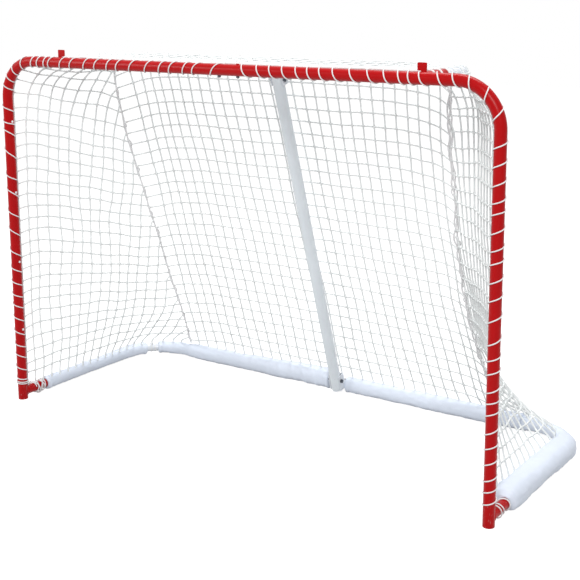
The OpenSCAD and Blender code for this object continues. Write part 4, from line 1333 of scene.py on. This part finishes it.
def sleeve_rings(run, form, salt, pleated, rounded):
    """The rings of a sleeve with its closed ends: each one's place in the run, its distances
    from the tube's line, its heights, and how far it is moved along the run."""
    wide, tall, shift, middle = form(run)
    bulge, proud, phi = cloth_relief(run, tall, salt, pleated)
    opened = np.clip((run - run[0]) / ROUNDED_LONG, 0, 1)
    soft_end = 1 - rounded * (1 - np.sqrt(np.clip(1 - (1 - opened) ** 2, 0, 1)))
    half_w, half_h = (wide * soft_end)[:, None] / 2, (tall * soft_end)[:, None] / 2
    c, z = np.cos(phi), np.sin(phi)
    flat = np.maximum(half_w - half_h, 0) * np.sign(c) * np.minimum(np.abs(c) * 3, 1)
    low = np.where(z < 0, -np.abs(z) ** 0.8, z)
    grown = half_h + bulge + proud[:, None]
    outer = shift[:, None] + flat + grown * c
    centre = BASE_Z + (middle - BASE_Z) * soft_end
    up = np.maximum(centre[:, None] + grown * low, LEAST_HEIGHT)
    rings = [(i, outer[i], up[i], 0.0) for i in range(len(run))]
    for end, into in ((0, 1), (len(run) - 1, -1)):
        caps = [(end, outer[end] * (1 - share) + SNUG * c * share,
                 up[end] * (1 - share) + (BASE_Z + SNUG * z) * share, into * sunk)
                for share, sunk in END_RINGS]
        rings = caps[::-1] + rings if end == 0 else rings + caps
    return rings, phi


def sleeve(node, side, ends, form, salt, pleated, rounded):
    """A padded sleeve round the base tube: a cloth tube with a hem at each end, creased where
    it is gathered, and closed by a sunken face round the steel."""
    run = np.linspace(*ends, int((ends[1] - ends[0]) / RING_STEP))
    rings, phi = sleeve_rings(run, form, salt, pleated, rounded)
    points, lie = [], []
    for i, across, height, sunk in rings:
        there, out = base_line(np.array([run[i] + sunk]))
        spot = there + out * across[:, None]
        points.append(np.column_stack([side * spot[:, 0], spot[:, 1], height]))
        lie.append(np.column_stack([np.full(SLEEVE_SIDES, run[i] + sunk), phi * CLOTH_TURN,
                                    np.full(SLEEVE_SIDES, float(sunk != 0))]))
    faces = tube_faces(0, len(rings), SLEEVE_SIDES)
    if side == RIGHT:
        faces = [face[::-1] for face in faces]
    piece = piece_of(node.replace("sleeve", "padding"), np.concatenate(points), faces,
                     np.concatenate(lie), "sleeve_cover", (node,))
    return piece


# ---- welds --------------------------------------------------------------------------------

# A bead's radius, its ripples round a stub and their depth, and how far it stands out from
# the stub and behind the frame tube.
BEAD_R = 0.0019
BEAD_RIPPLES = 23
BEAD_RIPPLE = 0.0003
BEAD_OUT = 1.02
BEAD_BACK = 0.0008


def weld_beads():
    """Beads of weld where the stubs meet the posts and the crossbar."""
    paths = []
    angle = np.linspace(0, 2 * math.pi, 73)
    ripple = BEAD_RIPPLE * np.sin(angle * BEAD_RIPPLES)
    for side in (LEFT, RIGHT):
        for at, radius, x in ((BASE_Z, BASE_R, POST_X), (BAR_Z, SHELF_R, SHELF_X)):
            across, up = radius * np.cos(angle), radius * np.sin(angle)
            # the bead lies where the stub's skin meets the round of the frame tube
            lean = across if at == BASE_Z else up
            y = np.sqrt(np.maximum(FRAME_R ** 2 - lean ** 2, 1e-9))
            path = np.stack([side * x + across * BEAD_OUT, y + BEAD_BACK + ripple,
                             at + up * BEAD_OUT], 1)
            paths.append((path, BEAD_R + ripple))
    return cords("weld_beads", paths, "red_paint", 8)


# ---- operators ----------------------------------------------------------------------------


def done(made, what):
    """Ends an operator, and stops the script where a piece came out empty."""
    for piece in made:
        if not piece.data.polygons:
            raise RuntimeError(f"{what}: {piece.name} has no faces")
    return {"FINISHED"}


class GOAL_OT_stage(bpy.types.Operator):
    """Make the camera, the floor, the lamps and the white room"""

    bl_idname = "goal.stage"
    bl_label = "Stage"

    def execute(self, context):
        camera()
        half = FLOOR_HALF
        mesh = bpy.data.meshes.new("floor")
        mesh.from_pydata([(-half, -half, 0), (half, -half, 0), (half, half, 0),
                          (-half, half, 0)], [], [(0, 1, 2, 3)])
        mesh.materials.append(floor_finish())
        floor = bpy.data.objects.new("floor", mesh)
        floor.location.z = -FLOOR_DROP
        context.scene.collection.objects.link(floor)
        white_world()
        for name, row in LAMPS.items():
            softbox(name, *row)
        context.scene.view_settings.view_transform = "Standard"
        return {"FINISHED"}


class GOAL_OT_finishes(bpy.types.Operator):
    """Give every solid that stays its own finish"""

    bl_idname = "goal.finishes"
    bl_label = "Frame finishes"

    def execute(self, context):
        made = finishes()
        for slot, nodes in KEPT.items():
            for node in nodes:
                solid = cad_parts[node]
                solid.data.materials.clear()
                solid.data.materials.append(made[slot])
        return {"FINISHED"}


class GOAL_OT_welds(bpy.types.Operator):
    """Lay the weld beads of the stubs"""

    bl_idname = "goal.welds"
    bl_label = "Weld beads"

    def execute(self, context):
        return done([weld_beads()], self.bl_label)


class GOAL_OT_back_net(bpy.types.Operator):
    """Hang the back net from the rear shelf bar"""

    bl_idname = "goal.back_net"
    bl_label = "Back net"

    def execute(self, context):
        return done([back_net()], self.bl_label)


class GOAL_OT_shelf_net(bpy.types.Operator):
    """Lay the net over the shelf"""

    bl_idname = "goal.shelf_net"
    bl_label = "Shelf net"

    def execute(self, context):
        return done([shelf_net()], self.bl_label)


class GOAL_OT_side_nets(bpy.types.Operator):
    """Stretch the two side nets from the posts to the seams"""

    bl_idname = "goal.side_nets"
    bl_label = "Side nets"

    def execute(self, context):
        return done([side_net(LEFT), side_net(RIGHT)], self.bl_label)


class GOAL_OT_seams(bpy.types.Operator):
    """Gather the nets along the two rear seams"""

    bl_idname = "goal.seams"
    bl_label = "Net seams"

    def execute(self, context):
        return done([seam_band(LEFT), seam_band(RIGHT)], self.bl_label)


class GOAL_OT_lacing(bpy.types.Operator):
    """Wind the lacing round the posts, the crossbar and the base stubs"""

    bl_idname = "goal.lacing"
    bl_label = "Lacing"

    def execute(self, context):
        made = [lacing(node) for node in TURNS] + [stub_lacing(LEFT), stub_lacing(RIGHT)]
        return done(made, self.bl_label)


class GOAL_OT_sleeves(bpy.types.Operator):
    """Pad the base tube with its four sleeves"""

    bl_idname = "goal.sleeves"
    bl_label = "Padded sleeves"

    def execute(self, context):
        return done([sleeve(*row) for row in SLEEVES], self.bl_label)


class GOAL_PT_panel(bpy.types.Panel):
    """Sizes, colours and pieces of the goal"""

    bl_idname = "GOAL_PT_panel"
    bl_label = "Hockey Goal"
    bl_space_type = "VIEW_3D"
    bl_region_type = "UI"
    bl_category = "Hockey Goal"

    def draw(self, context):
        for group in (context.scene.goal_sizes, context.scene.goal_colours):
            box = self.layout.box()
            for name in group.__annotations__:
                box.prop(group, name)
        for operator in PIECES:
            self.layout.operator(operator.bl_idname)


PIECES = (GOAL_OT_stage, GOAL_OT_finishes, GOAL_OT_welds, GOAL_OT_back_net, GOAL_OT_shelf_net,
          GOAL_OT_side_nets, GOAL_OT_seams, GOAL_OT_lacing, GOAL_OT_sleeves)
CLASSES = (GoalSizes, GoalColours, *PIECES, GOAL_PT_panel)


def register():
    for made in CLASSES:
        bpy.utils.register_class(made)
    bpy.types.Scene.goal_sizes = PointerProperty(type=GoalSizes)
    bpy.types.Scene.goal_colours = PointerProperty(type=GoalColours)


def unregister():
    del bpy.types.Scene.goal_colours
    del bpy.types.Scene.goal_sizes
    for made in reversed(CLASSES):
        bpy.utils.unregister_class(made)


def main():
    register()
    for operator in PIECES:
        group, name = operator.bl_idname.split(".")
        getattr(getattr(bpy.ops, group), name)()


if __name__ == "__main__":
    main()
